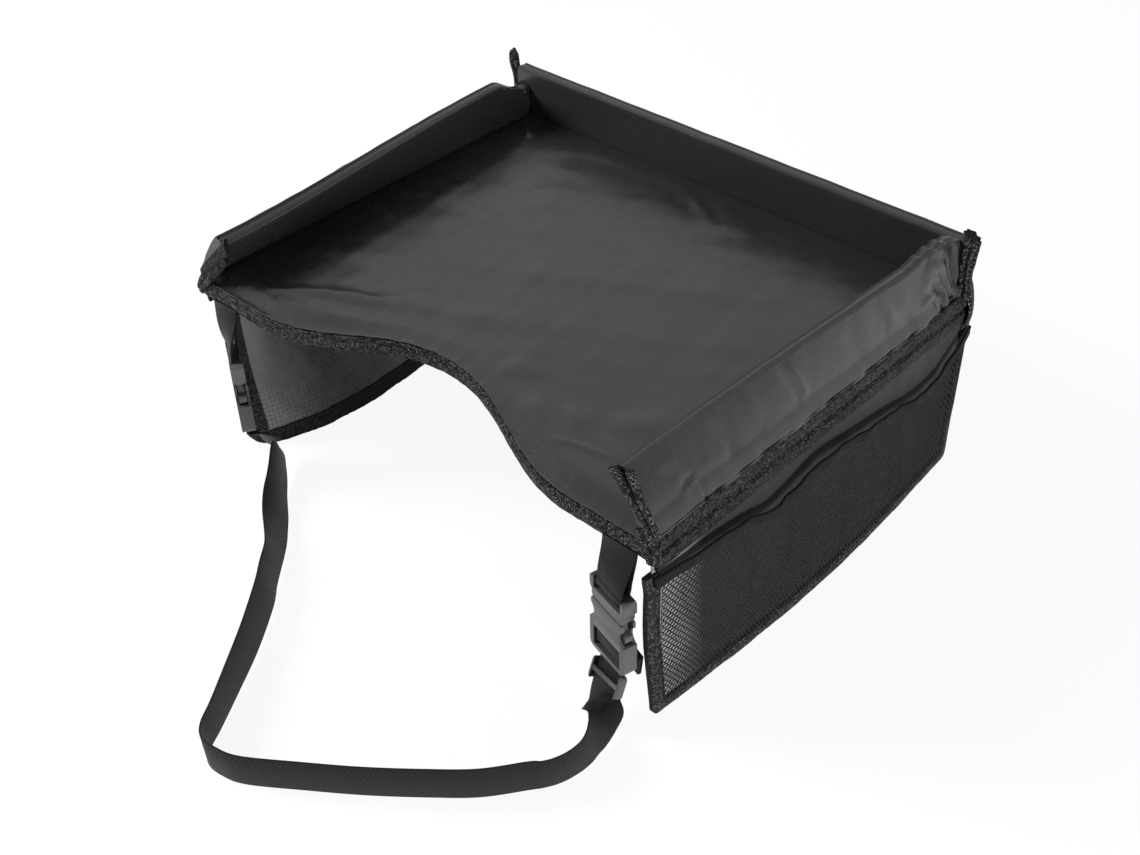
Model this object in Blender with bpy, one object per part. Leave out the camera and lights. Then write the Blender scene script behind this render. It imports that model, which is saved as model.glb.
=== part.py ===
"""Car seat tray table: a cloth covered foam board tray with three fold-down walls, two
hanging side panels with net pockets, and a webbing belt on side release buckles.

The tray is seen with X across it, -Y towards the child (the side with the belly cut-out)
and +Z up. It stands on the bottom edges of its side panels, with the belt on the floor.
"""
import math

import bmesh
import bpy
from mathutils import Matrix, Vector

# Tray, in metres
TRAY_WIDTH = 0.405
TRAY_DEPTH = 0.322
RIM_SEAM_HEIGHT = 0.133
TRAY_EDGE_HEIGHT = 0.0145
TRAY_BOARD_THICKNESS = 0.006
CLOTH_THICKNESS = 0.001
SKIRT_THICKNESS = 0.0015
FIT_GAP = 0.0003
BELLY_HALF_WIDTH = 0.140
BELLY_DEPTH = 0.040
MIDDLE_EDGE_DROP = 0.0015
LOBE_EDGE_DROP = 0.0085
EDGE_DROP_RUN = 0.012
BOARD_EDGE_INSET = 0.019
BOARD_SIDE_INSET = 0.0015

# Grosgrain binding tape
TAPE_WIDTH = 0.010
TAPE_THICKNESS = 0.003
FRONT_TAPE_WIDTH = 0.011
RIM_TAPE_WIDTH = 0.013
RIM_TAPE_STANDOUT = 0.001

# Fold-down walls
WALL_HEIGHT = 0.036
WALL_THICKNESS = 0.010
WALL_INSET = 0.013
BACK_WALL_INSET = 0.0115
WALL_SEAT_GAP = 0.0004
RIGHT_FRONT_LEAN = math.radians(28)
RIGHT_BACK_LEAN = math.radians(10)
LEFT_FRONT_LEAN = math.radians(36)
LEFT_BACK_LEAN = math.radians(4)
BACK_WALL_LEAN = math.radians(2)
RIGHT_BOARD_CUTBACK = 0.052
LEFT_BOARD_CUTBACK = 0.041
BACK_WALL_END_GAP = 0.003
GUSSET_JOIN_GAP = 0.0005
RIGHT_CORNER_DIP = 0.004
LEFT_CORNER_DIP = 0.013
GUSSET_FOLD_DEPTH = 0.0016
GUSSET_FOLDS = 3

# Fins of folded tape at the wall corners
FIN_WIDTH = 0.010
FIN_THICKNESS = 0.0025
RIGHT_FIN_RISE = 0.004
LEFT_FIN_RISE = 0.012
FRONT_FIN_RISE = 0.003

# Hanging side panels
PANEL_CLOTH_THICKNESS = 0.0012
PANEL_TAPE_THICKNESS = 0.0034
PANEL_TOP_GAP = 0.0008
PANEL_INSET = 0.002
PANEL_FRONT_INSET = 0.0045
PANEL_BACK_INSET = 0.001
PANEL_TAPE_TOP_GAP = 0.0035
RIGHT_PANEL_BOW = 0.009
LEFT_PANEL_BOW = 0.042
PANEL_CORNER_BOW_share = 0.20
LEFT_BOW_PEAK_share = 0.55
BOW_GROWTH_POWER = 1.3

# Net pockets
NET_THICKNESS = 0.0012
NET_STRAND = 0.0032
NET_COLUMNS = 12
NET_ROWS = 6
NET_BELLY = 0.012
NET_FOLD_DEPTH = 0.0015
NET_FOLDS = 4
HEM_WIDTH = 0.010
HEM_THICKNESS = 0.0018
HEM_END_DROP = 0.002
HEM_SAG = 0.018
HEM_NET_GAP = 0.0008

# Webbing, tabs and belt
WEBBING_WIDTH = 0.025
WEBBING_THICKNESS = 0.0015
TAB_INSET = 0.0245
TAB_DROP = 0.027
TAB_SEAM_GAP = 0.0008
TAB_RUNNING_GAP = 0.0007
BELT_REACH = 0.198
BELT_LEAN = math.radians(15)
BELT_FLOOR_GAP = 0.0004

# Side release buckle, measured down from the top of its plug
BUCKLE_WIDTH = 0.035
BUCKLE_THICKNESS = 0.0096
PLUG_HEIGHT = 0.0165
PLUG_THICKNESS = 0.0076
PLUG_BAR_HEIGHT = 0.0042
WEBBING_SLOT_HEIGHT = 0.0045
WEBBING_SLOT_CLEARANCE = 0.001
SOCKET_TOP = 0.0172
SOCKET_LENGTH = 0.0405
CAVITY_DEPTH = 0.0190
CAVITY_THICKNESS = 0.0060
WINDOW_DEPTH = 0.0165
SIDE_WALL = 0.0032
LADDER_BAR_HEIGHT = 0.0032
LADDER_SLOT_HEIGHT = 0.0055
LADDER_BAR_THICKNESS = 0.0030
TONGUE_WIDTH = 0.005
TONGUE_LENGTH = 0.017
PRONG_THICKNESS = 0.0052
PRONG_WIDTH = 0.0034
PRONG_OFFSET = 0.0100
PRONG_LENGTH = 0.0185
BARB_LENGTH = 0.0095
BARB_STANDOUT = 0.0050
PLASTIC_EDGE = 0.0007
RIGHT_BUCKLE_TURN = math.radians(-15)
RIGHT_BUCKLE_FORWARD = 0.0055
LEFT_BUCKLE_TURN = math.radians(-31)
LEFT_BUCKLE_INWARD = 0.012
LEFT_BUCKLE_FORWARD = 0.0080

# The doubled end of the belt, tucked behind the right socket
TAIL_THICKNESS = 0.0033
TAIL_LENGTH = 0.016
TAIL_SHIFT = 0.006
TAIL_RISE = 0.0065
TAIL_TURN = math.radians(8)

# Slide adjuster below the right buckle
GLIDE_LENGTH = 0.015
GLIDE_WIDTH = 0.031
GLIDE_BAR = 0.0030
GLIDE_BAR_THICKNESS = 0.0016
GLIDE_START = 0.0050
GLIDE_STRAP_GAP = 0.0004
GLIDE_TRAVEL = 0.004
GLIDE_RUN_OUT = 0.0025
GLIDE_HEADING_shares = (0.05, -0.45, -0.80)
GLIDE_ACROSS_shares = (0.93, -0.32, 0.16)

# Derived places
HALF_WIDTH = TRAY_WIDTH / 2
HALF_DEPTH = TRAY_DEPTH / 2
TRAY_TOP = RIM_SEAM_HEIGHT + TRAY_EDGE_HEIGHT
COVER_UNDERSIDE = TRAY_TOP - CLOTH_THICKNESS
BOARD_TOP = COVER_UNDERSIDE - FIT_GAP
BOARD_UNDERSIDE = BOARD_TOP - TRAY_BOARD_THICKNESS
LINER_TOP = BOARD_UNDERSIDE - FIT_GAP
LINER_UNDERSIDE = LINER_TOP - CLOTH_THICKNESS
FRONT_TAPE_HALF = TAPE_THICKNESS / 2
WALL_BASE = TRAY_TOP + WALL_SEAT_GAP
SIDE_HINGE_X = HALF_WIDTH - WALL_INSET
BACK_HINGE_Y = HALF_DEPTH - BACK_WALL_INSET
RIM_TAPE_BOTTOM = RIM_SEAM_HEIGHT - RIM_TAPE_WIDTH
PANEL_TOP = RIM_TAPE_BOTTOM - PANEL_TOP_GAP
PANEL_HINGE_X = HALF_WIDTH - PANEL_INSET
PANEL_FRONT = -HALF_DEPTH + PANEL_FRONT_INSET
PANEL_BACK = HALF_DEPTH - PANEL_BACK_INSET
PANEL_TAPE_TOP = PANEL_TOP - PANEL_TAPE_TOP_GAP
TAB_SPREAD = HALF_WIDTH - TAB_INSET
LOBE_TAPE_BOTTOM = (
    TRAY_TOP - LOBE_EDGE_DROP - CLOTH_THICKNESS * math.sqrt(2) - FIT_GAP - FRONT_TAPE_WIDTH
)
TAB_TOP = LOBE_TAPE_BOTTOM - TAB_RUNNING_GAP
TAB_PIVOT = TAB_TOP - TAB_SEAM_GAP
TAB_Y = -HALF_DEPTH - FRONT_TAPE_HALF
BUCKLE_TOP = TAB_TOP - TAB_DROP
SOCKET_BOTTOM = SOCKET_TOP + SOCKET_LENGTH
LADDER_TOP = SOCKET_BOTTOM - 3 * LADDER_BAR_HEIGHT - 2 * LADDER_SLOT_HEIGHT

# Colours and finishes, read from the photograph
NYLON_RGB = (0.030, 0.030, 0.032)
LINER_RGB = (0.022, 0.022, 0.024)
TAPE_RGB = (0.014, 0.014, 0.015)
FOAM_RGB = (0.10, 0.10, 0.11)
NET_RGB = (0.016, 0.016, 0.017)
WEBBING_RGB = (0.018, 0.018, 0.019)
PLASTIC_RGB = (0.026, 0.026, 0.028)


def material(name, rgb, roughness):
    """A plain opaque material: colour and roughness, no metal."""
    made = bpy.data.materials.new(name)
    made.use_nodes = True
    shader = made.node_tree.nodes["Principled BSDF"]
    shader.inputs["Base Color"].default_value = (*rgb, 1)
    shader.inputs["Roughness"].default_value = roughness
    shader.inputs["Metallic"].default_value = 0
    return made


def lerp(low, high, share):
    """The value that lies share of the way from low to high."""
    return low + (high - low) * share


def smooth(share):
    """Ease from 0 to 1 with level ends."""
    held = min(max(share, 0), 1)
    return held * held * (3 - 2 * held)


def empty(name, place, parent=None):
    """An empty on a joint's axis, in the tray's frame."""
    made = bpy.data.objects.new(name, None)
    bpy.context.scene.collection.objects.link(made)
    made["place"] = tuple(place)
    made.location = Vector(place)
    if parent:
        made.parent = parent
        made.location -= Vector(parent["place"])
    return made


def add(name, bm, look, holder, turn=None):
    """Turn a finished bmesh, in the tray's frame, into a named object under its empty."""
    if turn:
        bmesh.ops.transform(bm, matrix=turn, verts=bm.verts)
    bmesh.ops.recalc_face_normals(bm, faces=bm.faces)
    mesh = bpy.data.meshes.new(name)
    bm.to_mesh(mesh)
    bm.free()
    mesh.materials.append(look)
    made = bpy.data.objects.new(name, mesh)
    bpy.context.scene.collection.objects.link(made)
    made.parent = holder
    made.location = -Vector(holder["place"])
    return made


def loft(rings):
    """One closed body through rings of points, capped at both ends."""
    bm = bmesh.new()
    loops = [[bm.verts.new(point) for point in ring] for ring in rings]
    count = len(rings[0])
    for one, other in zip(loops, loops[1:]):
        for i in range(count):
            j = (i + 1) % count
            bm.faces.new((one[i], one[j], other[j], other[i]))
    bm.faces.new(loops[0])
    bm.faces.new(reversed(loops[-1]))
    return bm


def twisted(bm):
    """Split each four-sided face at its middle, so that both skins of a twisted cloth bend alike."""
    bmesh.ops.poke(bm, faces=[face for face in bm.faces if len(face.verts) == 4])
    return bm


def thicken(bm, front, back):
    """Lay a flat mesh, whose points hold their shares, between two surfaces as one body."""
    rim = [edge for edge in bm.edges if edge.is_boundary]
    flat = list(bm.verts)
    spots = [(vert.co.x, vert.co.y) for vert in flat]
    order = {vert: i for i, vert in enumerate(flat)}
    faces = [[order[vert] for vert in face.verts] for face in bm.faces]
    twins = [bm.verts.new(back(*spot)) for spot in spots]
    for face in faces:
        bm.faces.new([twins[i] for i in reversed(face)])
    for edge in rim:
        one, other = edge.verts
        bm.faces.new((one, other, twins[order[other]], twins[order[one]]))
    for vert, spot in zip(flat, spots):
        vert.co = front(*spot)
    return bm


def slab(columns, rows, front, back):
    """A body between two surfaces, each a function of two shares."""
    bm = bmesh.new()
    bmesh.ops.create_grid(bm, x_segments=columns, y_segments=rows, size=1 / 2)
    bmesh.ops.translate(bm, vec=(1 / 2, 1 / 2, 0), verts=bm.verts)
    return thicken(bm, front, back)


def plate(outline, thickness):
    """An outline in X and Z, extruded both ways along Y."""
    bm = bmesh.new()
    bm.faces.new([bm.verts.new((x, z, 0)) for x, z in outline])
    half = thickness / 2
    return thicken(bm, lambda x, z: Vector((x, -half, z)), lambda x, z: Vector((x, half, z)))


def block(low, high):
    """A rectangular body between two corners."""
    bm = bmesh.new()
    bmesh.ops.create_cube(bm, size=1)
    low, high = Vector(low), Vector(high)
    bmesh.ops.scale(bm, vec=high - low, verts=bm.verts)
    bmesh.ops.translate(bm, vec=(low + high) / 2, verts=bm.verts)
    return bm


def soften(made, width):
    """Round the sharp edges of a moulded piece."""
    bevel = made.modifiers.new("edge", "BEVEL")
    bevel.width = width
    bevel.segments = 1
    bevel.limit_method = "ANGLE"


def combine(made, tool, operation):
    """Cut a hidden tool out of a piece, or join it to the piece."""
    tool.hide_render = True
    tool.display_type = "WIRE"
    boolean = made.modifiers.new(tool.name, "BOOLEAN")
    boolean.operation = operation
    boolean.solver = "EXACT"
    boolean.object = tool


def ribbon(stations):
    """Webbing through stations: a place, the way across, and the half sizes."""
    rings = []
    places = [Vector(place) for place, across in stations]
    for i, (place, across) in enumerate(stations):
        along = places[min(i + 1, len(places) - 1)] - places[max(i - 1, 0)]
        across = Vector(across).normalized()
        side = across * WEBBING_WIDTH / 2
        skin = along.cross(across).normalized() * WEBBING_THICKNESS / 2
        at = Vector(place)
        rings.append([at - side - skin, at + side - skin, at + side + skin, at - side + skin])
    return loft(rings)


def belly(x):
    """How far the front edge is cut back at x, as a share of the belly's depth."""
    share = min(abs(x) / BELLY_HALF_WIDTH, 1)
    return math.cos(share * math.pi / 2) ** 2


def front_edge(x):
    """The front edge's place along Y at x."""
    return -HALF_DEPTH + BELLY_DEPTH * belly(x)


def edge_top(x):
    """The height of the cover's top at the front edge."""
    return TRAY_TOP - lerp(LOBE_EDGE_DROP, MIDDLE_EDGE_DROP, smooth(belly(x)))


def tray_cloth(name, look, holder, top, bottom, front_inset, side_inset, columns, rows):
    """A layer of the tray between two heights, with the belly cut-out in its front edge."""
    half = HALF_WIDTH - side_inset
    back = HALF_DEPTH - side_inset

    def at(level):
        def surface(u, v):
            x = lerp(-half, half, u)
            front = front_edge(x) + front_inset
            return Vector((x, lerp(front, back, v), level))
        return surface

    return add(name, slab(columns, rows, at(top), at(bottom)), look, holder)


def top_cover(look, holder):
    """The tray's cloth, level on the board and dropping to the front edge."""
    half = HALF_WIDTH - SKIRT_THICKNESS - FIT_GAP
    back = HALF_DEPTH - SKIRT_THICKNESS - FIT_GAP

    def at(level):
        def surface(u, v):
            x = lerp(-half, half, u)
            front = front_edge(x)
            y = lerp(front, back, v * v)
            run = smooth((y - front) / EDGE_DROP_RUN)
            drop = (TRAY_TOP - edge_top(x)) * (1 - run)
            return Vector((x, y, level - drop))
        return surface

    add("tray_top_cover", slab(20, 9, at(TRAY_TOP), at(COVER_UNDERSIDE)), look, holder)


def front_binding(look, holder):
    """The tape that hangs from the front edge, round the belly cut-out."""
    steps = 28
    rings = []
    for i in range(steps + 1):
        x = lerp(-HALF_WIDTH, HALF_WIDTH, i / steps)
        y = front_edge(x)
        high = edge_top(x) - CLOTH_THICKNESS * math.sqrt(2) - FIT_GAP
        low = high - FRONT_TAPE_WIDTH
        near, far = y - FRONT_TAPE_HALF, y + FRONT_TAPE_HALF
        rings.append([(x, near, low), (x, near, high), (x, far, high), (x, far, low)])
    add("front_edge_binding", loft(rings), look, holder)


def skirts(look, holder):
    """The strips of cover that close the tray's sides and back, down to the rim seam."""
    low, high = RIM_SEAM_HEIGHT + FIT_GAP, TRAY_TOP
    front = -HALF_DEPTH + FRONT_TAPE_HALF + FIT_GAP
    for side, name in ((-1, "left"), (1, "right")):
        xs = sorted((side * (HALF_WIDTH - SKIRT_THICKNESS), side * HALF_WIDTH))
        add(f"{name}_edge_cover", block((xs[0], front, low), (xs[1], HALF_DEPTH, high)), look, holder)
    reach = HALF_WIDTH - SKIRT_THICKNESS - FIT_GAP
    body = block((-reach, HALF_DEPTH - SKIRT_THICKNESS, low), (reach, HALF_DEPTH, high))
    add("back_edge_cover", body, look, holder)


def rim_bindings(look, holder):
    """The tape over the seam round the tray's underside, at the sides and the back."""
    low, high = RIM_TAPE_BOTTOM, RIM_SEAM_HEIGHT
    inner = HALF_WIDTH + RIM_TAPE_STANDOUT - TAPE_THICKNESS
    front = -HALF_DEPTH + FRONT_TAPE_HALF + FIT_GAP
    for side, name in ((-1, "left"), (1, "right")):
        xs = sorted((side * inner, side * (inner + TAPE_THICKNESS)))
        body = block((xs[0], front, low), (xs[1], HALF_DEPTH, high))
        add(f"{name}_rim_binding", body, look, holder)
    reach = inner - FIT_GAP
    body = block((-reach, HALF_DEPTH - TAPE_THICKNESS, low), (reach, HALF_DEPTH, high))
    add("back_rim_binding", body, look, holder)


def side_lean(side, y):
    """How far a side wall leans inwards at y."""
    share = smooth((y + HALF_DEPTH) / TRAY_DEPTH)
    if side > 0:
        return lerp(RIGHT_FRONT_LEAN, RIGHT_BACK_LEAN, share)
    return lerp(LEFT_FRONT_LEAN, LEFT_BACK_LEAN, share)


def sleeve(height, lean, grow=0):
    """The outline of a wall's cover across the wall: out from the hinge, and up."""
    cloth = CLOTH_THICKNESS
    outer = WALL_THICKNESS + grow
    turned = []
    for out, up in (
        (0, 0),
        (0, height),
        (outer, height),
        (outer, 0),
        (outer - cloth, 0),
        (outer - cloth, height - cloth),
        (cloth, height - cloth),
        (cloth, 0),
    ):
        up = up or -out * math.tan(lean)
        turned.append(
            (
                out * math.cos(lean) - up * math.sin(lean),
                out * math.sin(lean) + up * math.cos(lean),
            )
        )
    return turned


def foam_section(height, lean):
    """The outline of the foam board inside a wall's cover."""
    near = CLOTH_THICKNESS + FIT_GAP
    far = WALL_THICKNESS - near
    corners = ((near, near), (near, height - near), (far, height - near), (far, near))
    return [
        (
            out * math.cos(lean) - up * math.sin(lean),
            out * math.sin(lean) + up * math.cos(lean),
        )
        for out, up in corners
    ]


def side_wall(side, name, looks, holder):
    """One side wall: its foam board, the cover over it and the tape on its front end."""
    front = -HALF_DEPTH
    cutback = RIGHT_BOARD_CUTBACK if side > 0 else LEFT_BOARD_CUTBACK
    back = BACK_HINGE_Y - cutback
    steps = 9

    def rings(section, start, end):
        made = []
        for i in range(steps + 1):
            y = lerp(start, end, i / steps)
            outline = section(WALL_HEIGHT, side_lean(side, y))
            made.append(
                [(side * (SIDE_HINGE_X + out), y, WALL_BASE + up) for out, up in outline]
            )
        return made

    inset = CLOTH_THICKNESS + FIT_GAP
    board = twisted(loft(rings(foam_section, front + inset, back - inset)))
    add(f"{name}_wall_board", board, looks["foam"], holder)
    cover = twisted(loft(rings(sleeve, front, back)))
    add(f"{name}_wall_cover", cover, looks["nylon"], holder)

    lean = side_lean(side, front)
    outline = []
    for out, up in (
        (WALL_THICKNESS, 0),
        (WALL_THICKNESS, WALL_HEIGHT + FRONT_FIN_RISE),
        (WALL_THICKNESS - FIN_WIDTH, WALL_HEIGHT),
        (WALL_THICKNESS - FIN_WIDTH, FRONT_FIN_RISE),
    ):
        x = out * math.cos(lean) - up * math.sin(lean)
        z = out * math.sin(lean) + up * math.cos(lean)
        outline.append((side * (SIDE_HINGE_X + x), WALL_BASE + z))
    fin = plate(outline, FIN_THICKNESS)
    away = Matrix.Translation((0, front - FIT_GAP - FIN_THICKNESS / 2, 0))
    add(f"{name}_wall_front_binding", fin, looks["tape"], holder, away)


def corner_gusset(side, name, looks, holder):
    """The soft end of a side wall's cover, past its board, where it folds as walls go down."""
    cutback = RIGHT_BOARD_CUTBACK if side > 0 else LEFT_BOARD_CUTBACK
    dip = RIGHT_CORNER_DIP if side > 0 else LEFT_CORNER_DIP
    folds = GUSSET_FOLD_DEPTH if side > 0 else 0
    start = BACK_HINGE_Y - cutback + GUSSET_JOIN_GAP
    end = BACK_HINGE_Y - WALL_HEIGHT * math.sin(BACK_WALL_LEAN) - GUSSET_JOIN_GAP
    steps = 4 * GUSSET_FOLDS
    made = []
    for i in range(steps + 1):
        share = i / steps
        y = lerp(start, end, share)
        wave = math.sin(share * GUSSET_FOLDS * 2 * math.pi) * folds * math.sin(share * math.pi)
        height = WALL_HEIGHT - dip * smooth(share) - abs(wave)
        outline = sleeve(height, side_lean(side, y), wave)
        made.append([(side * (SIDE_HINGE_X + out), y, WALL_BASE + up) for out, up in outline])
    add(f"{name}_corner_gusset", twisted(loft(made)), looks["nylon"], holder)


def back_wall(looks, holder):
    """The back wall: its board, its cover and the tape fins that stand out at its corners."""
    reach = HALF_WIDTH - BACK_WALL_END_GAP

    def rings(section, end):
        outline = section(WALL_HEIGHT, BACK_WALL_LEAN)
        return [
            [(x, BACK_HINGE_Y + out, WALL_BASE + up) for out, up in outline]
            for x in (-end, end)
        ]

    inset = CLOTH_THICKNESS + FIT_GAP
    add("back_wall_board", loft(rings(foam_section, reach - inset)), looks["foam"], holder)
    add("back_wall_cover", loft(rings(sleeve, reach)), looks["nylon"], holder)
    for side, name, rise in ((-1, "left", LEFT_FIN_RISE), (1, "right", RIGHT_FIN_RISE)):
        top = WALL_BASE + WALL_HEIGHT
        inner = reach + FIT_GAP
        outer = inner + FIN_WIDTH
        outline = (
            (side * inner, WALL_BASE + FIT_GAP),
            (side * (inner + FIN_WIDTH / 2), WALL_BASE + FIT_GAP),
            (side * outer, lerp(WALL_BASE, top, 1 / 3)),
            (side * outer, top),
            (side * (inner + FIN_WIDTH / 2), top + rise),
            (side * inner, top),
        )
        away = Matrix.Translation((0, BACK_HINGE_Y + WALL_THICKNESS / 2, 0))
        fin = plate(outline, FIN_THICKNESS)
        add(f"back_{name}_corner_binding", fin, looks["tape"], holder, away)


def corner_tacks(look, holder):
    """The lower ends of the corner tapes, fixed to the tray's edge at its front corners."""
    low = edge_top(HALF_WIDTH) + FIT_GAP
    for side, name in ((-1, "left"), (1, "right")):
        xs = sorted((side * (HALF_WIDTH - FIN_WIDTH), side * HALF_WIDTH))
        near = -HALF_DEPTH - FIN_THICKNESS
        body = block((xs[0], near, low), (xs[1], -HALF_DEPTH, TRAY_TOP - FIT_GAP))
        add(f"{name}_front_corner_tack", body, look, holder)


def panel_face(side, y, z):
    """The inner face of a side panel, as a distance from the middle of the tray."""
    along = (y - PANEL_FRONT) / (PANEL_BACK - PANEL_FRONT)
    down = max(1 - z / PANEL_TOP, 0) ** BOW_GROWTH_POWER
    if side > 0:
        return PANEL_HINGE_X + RIGHT_PANEL_BOW * down * math.sin(math.pi * along)
    peak = math.sin(math.pi * max(along, 0) ** LEFT_BOW_PEAK_share)
    bow = lerp(PANEL_CORNER_BOW_share, 1, peak)
    return PANEL_HINGE_X - LEFT_PANEL_BOW * down * bow


def panel_point(side, y, z, out):
    """A point on a side panel, out from its inner face."""
    return Vector((side * (panel_face(side, y, z) + out), y, z))


def hem_line(along):
    """The height of the pocket's mouth, sagging between its two ends."""
    ends = PANEL_TAPE_TOP - HEM_END_DROP
    return ends - HEM_SAG * math.sin(math.pi * along)


def net_belly(along, up):
    """How far the net stands off the panel, with its folds."""
    spread = math.sin(math.pi * along)
    rise = math.sin(math.pi * lerp(0, 2 / 3, up))
    folds = NET_FOLD_DEPTH * math.sin(2 * math.pi * NET_FOLDS * along)
    return (NET_BELLY + folds) * spread * rise


def hex_net():
    """A flat six-sided mesh of strands over the unit square, with open gaps."""
    bm = bmesh.new()
    rows = 2 * NET_ROWS
    verts = {}

    def corner(i, j):
        j = min(max(j, 0), rows)
        if (i, j) not in verts:
            shift = (1 if (i + j) % 2 else -1) / (6 * NET_COLUMNS)
            inside = 0 < i < NET_COLUMNS
            verts[i, j] = bm.verts.new((i / NET_COLUMNS + shift * inside, j / rows, 0))
        return verts[i, j]

    for i in range(NET_COLUMNS):
        for j in range(-(i % 2), rows, 2):
            ring = []
            for spot in ((i, j), (i + 1, j), (i + 1, j + 1), (i + 1, j + 2), (i, j + 2), (i, j + 1)):
                vert = corner(*spot)
                if vert not in ring:
                    ring.append(vert)
            if len(ring) > 3:
                bm.faces.new(ring)
    return bm


def open_gaps(bm, width, height):
    """Inset every cell by half a strand, in real sizes, and take its middle out."""
    bmesh.ops.scale(bm, vec=(width, height, 1), verts=bm.verts)
    cells = bm.faces[:]
    bmesh.ops.inset_individual(bm, faces=cells, thickness=NET_STRAND / 2, use_even_offset=True)
    bmesh.ops.delete(bm, geom=cells, context="FACES_ONLY")
    bmesh.ops.scale(bm, vec=(1 / width, 1 / height, 1), verts=bm.verts)


def side_panel(side, name, looks, holder):
    """A hanging panel: its cloth, the tape round three edges, the net and the net's hem."""
    tape = TAPE_WIDTH
    front, back = PANEL_FRONT + tape + FIT_GAP, PANEL_BACK - tape - FIT_GAP
    floor = tape + FIT_GAP

    def cloth_at(out):
        def surface(u, v):
            return panel_point(side, lerp(front, back, u), lerp(floor, PANEL_TOP, v), out)
        return surface

    body = slab(12, 5, cloth_at(0), cloth_at(PANEL_CLOTH_THICKNESS))
    add(f"{name}_side_panel", body, looks["nylon"], holder)

    path = []
    rise = 4
    run = 12
    for i in range(rise):
        z = lerp(PANEL_TAPE_TOP, tape, i / rise)
        path.append(((PANEL_FRONT, z), (PANEL_FRONT + tape, z)))
    path.append(((PANEL_FRONT, 0), (PANEL_FRONT + tape, tape)))
    for i in range(1, run):
        y = lerp(PANEL_FRONT, PANEL_BACK, i / run)
        path.append(((y, 0), (y, tape)))
    path.append(((PANEL_BACK, 0), (PANEL_BACK - tape, tape)))
    for i in range(rise):
        z = lerp(tape, PANEL_TAPE_TOP, (i + 1) / rise)
        path.append(((PANEL_BACK, z), (PANEL_BACK - tape, z)))
    rings = []
    for outer, inner in path:
        rings.append(
            [
                panel_point(side, *outer, 0),
                panel_point(side, *inner, 0),
                panel_point(side, *inner, PANEL_TAPE_THICKNESS),
                panel_point(side, *outer, PANEL_TAPE_THICKNESS),
            ]
        )
    add(f"{name}_panel_binding", loft(rings), looks["tape"], holder)

    lift = PANEL_CLOTH_THICKNESS + FIT_GAP

    def net_at(out):
        def surface(u, v):
            y = lerp(front, back, u)
            z = lerp(floor, hem_line(u) - HEM_WIDTH - HEM_NET_GAP, v)
            return panel_point(side, y, z, lift + net_belly(u, v) + out)
        return surface

    net = hex_net()
    open_gaps(net, back - front, hem_line(1 / 2) - floor)
    add(f"{name}_pocket_net", thicken(net, net_at(0), net_at(NET_THICKNESS)), looks["net"], holder)

    def hem_at(out):
        def surface(u, v):
            y = lerp(front, back, u)
            z = hem_line(u) - lerp(HEM_WIDTH, 0, v)
            return panel_point(side, y, z, lift + net_belly(u, 1) + out)
        return surface

    add(f"{name}_pocket_hem", slab(16, 1, hem_at(0), hem_at(HEM_THICKNESS)), looks["tape"], holder)


def buckle_place(side):
    """Where a buckle hangs: the left one swings in and forward on its twisted tab."""
    if side > 0:
        return TAB_SPREAD, TAB_Y - RIGHT_BUCKLE_FORWARD
    return LEFT_BUCKLE_INWARD - TAB_SPREAD, TAB_Y - LEFT_BUCKLE_FORWARD


def buckle_frame(side):
    """The frame of a buckle: its origin at the top middle of the plug, and its turn."""
    turn = RIGHT_BUCKLE_TURN if side > 0 else LEFT_BUCKLE_TURN
    place = (*buckle_place(side), BUCKLE_TOP)
    return Matrix.Translation(place) @ Matrix.Rotation(turn, 4, "Z")


def tab(side, name, looks, holder):
    """The webbing tab from the front edge down to the plug's bar, twisting to the plug."""
    turn = RIGHT_BUCKLE_TURN if side > 0 else LEFT_BUCKLE_TURN
    steps = 6
    stations = []
    for i in range(steps + 1):
        share = i / steps
        angle = turn * smooth(share)
        z = lerp(TAB_TOP, BUCKLE_TOP + FIT_GAP, share)
        across = (math.cos(angle), math.sin(angle), 0)
        x, y = buckle_place(side)
        swung = smooth(share)
        place = (lerp(side * TAB_SPREAD, x, swung), lerp(TAB_Y, y, swung), z)
        stations.append((place, across))
    add(f"{name}_tab_webbing", ribbon(stations), looks["webbing"], holder)


def cut(made, label, bm, holder, frame):
    """Cut a shape out of a moulded piece."""
    tool = add(f"{made.name}_{label}", bm, made.data.materials[0], holder, frame)
    combine(made, tool, "DIFFERENCE")


def join(made, label, bm, holder, frame):
    """Add a shape to a moulded piece."""
    tool = add(f"{made.name}_{label}", bm, made.data.materials[0], holder, frame)
    combine(made, tool, "UNION")


def plug(side, name, looks, holder):
    """The buckle's plug: a head with a slotted bar, and a tongue between the two prongs."""
    half = BUCKLE_WIDTH / 2
    frame = buckle_frame(side)
    bottom = -PLUG_HEIGHT
    outline = (
        (-half, 0),
        (half, 0),
        (half, -PLUG_BAR_HEIGHT - WEBBING_SLOT_HEIGHT),
        (half - SIDE_WALL, bottom),
        (-half + SIDE_WALL, bottom),
        (-half, -PLUG_BAR_HEIGHT - WEBBING_SLOT_HEIGHT),
    )
    body = add(f"{name}_buckle_plug", plate(outline, PLUG_THICKNESS), looks["plastic"], holder, frame)
    soften(body, PLASTIC_EDGE)
    slot = WEBBING_WIDTH / 2 + WEBBING_SLOT_CLEARANCE
    low = (-slot, -PLUG_THICKNESS, -PLUG_BAR_HEIGHT - WEBBING_SLOT_HEIGHT)
    high = (slot, PLUG_THICKNESS, -PLUG_BAR_HEIGHT)
    cut(body, "slot", block(low, high), holder, frame)
    wide, deep = TONGUE_WIDTH / 2, PRONG_THICKNESS / 2
    tongue = block((-wide, -deep, bottom - TONGUE_LENGTH), (wide, deep, bottom + SIDE_WALL))
    join(body, "tongue", tongue, holder, frame)


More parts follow.
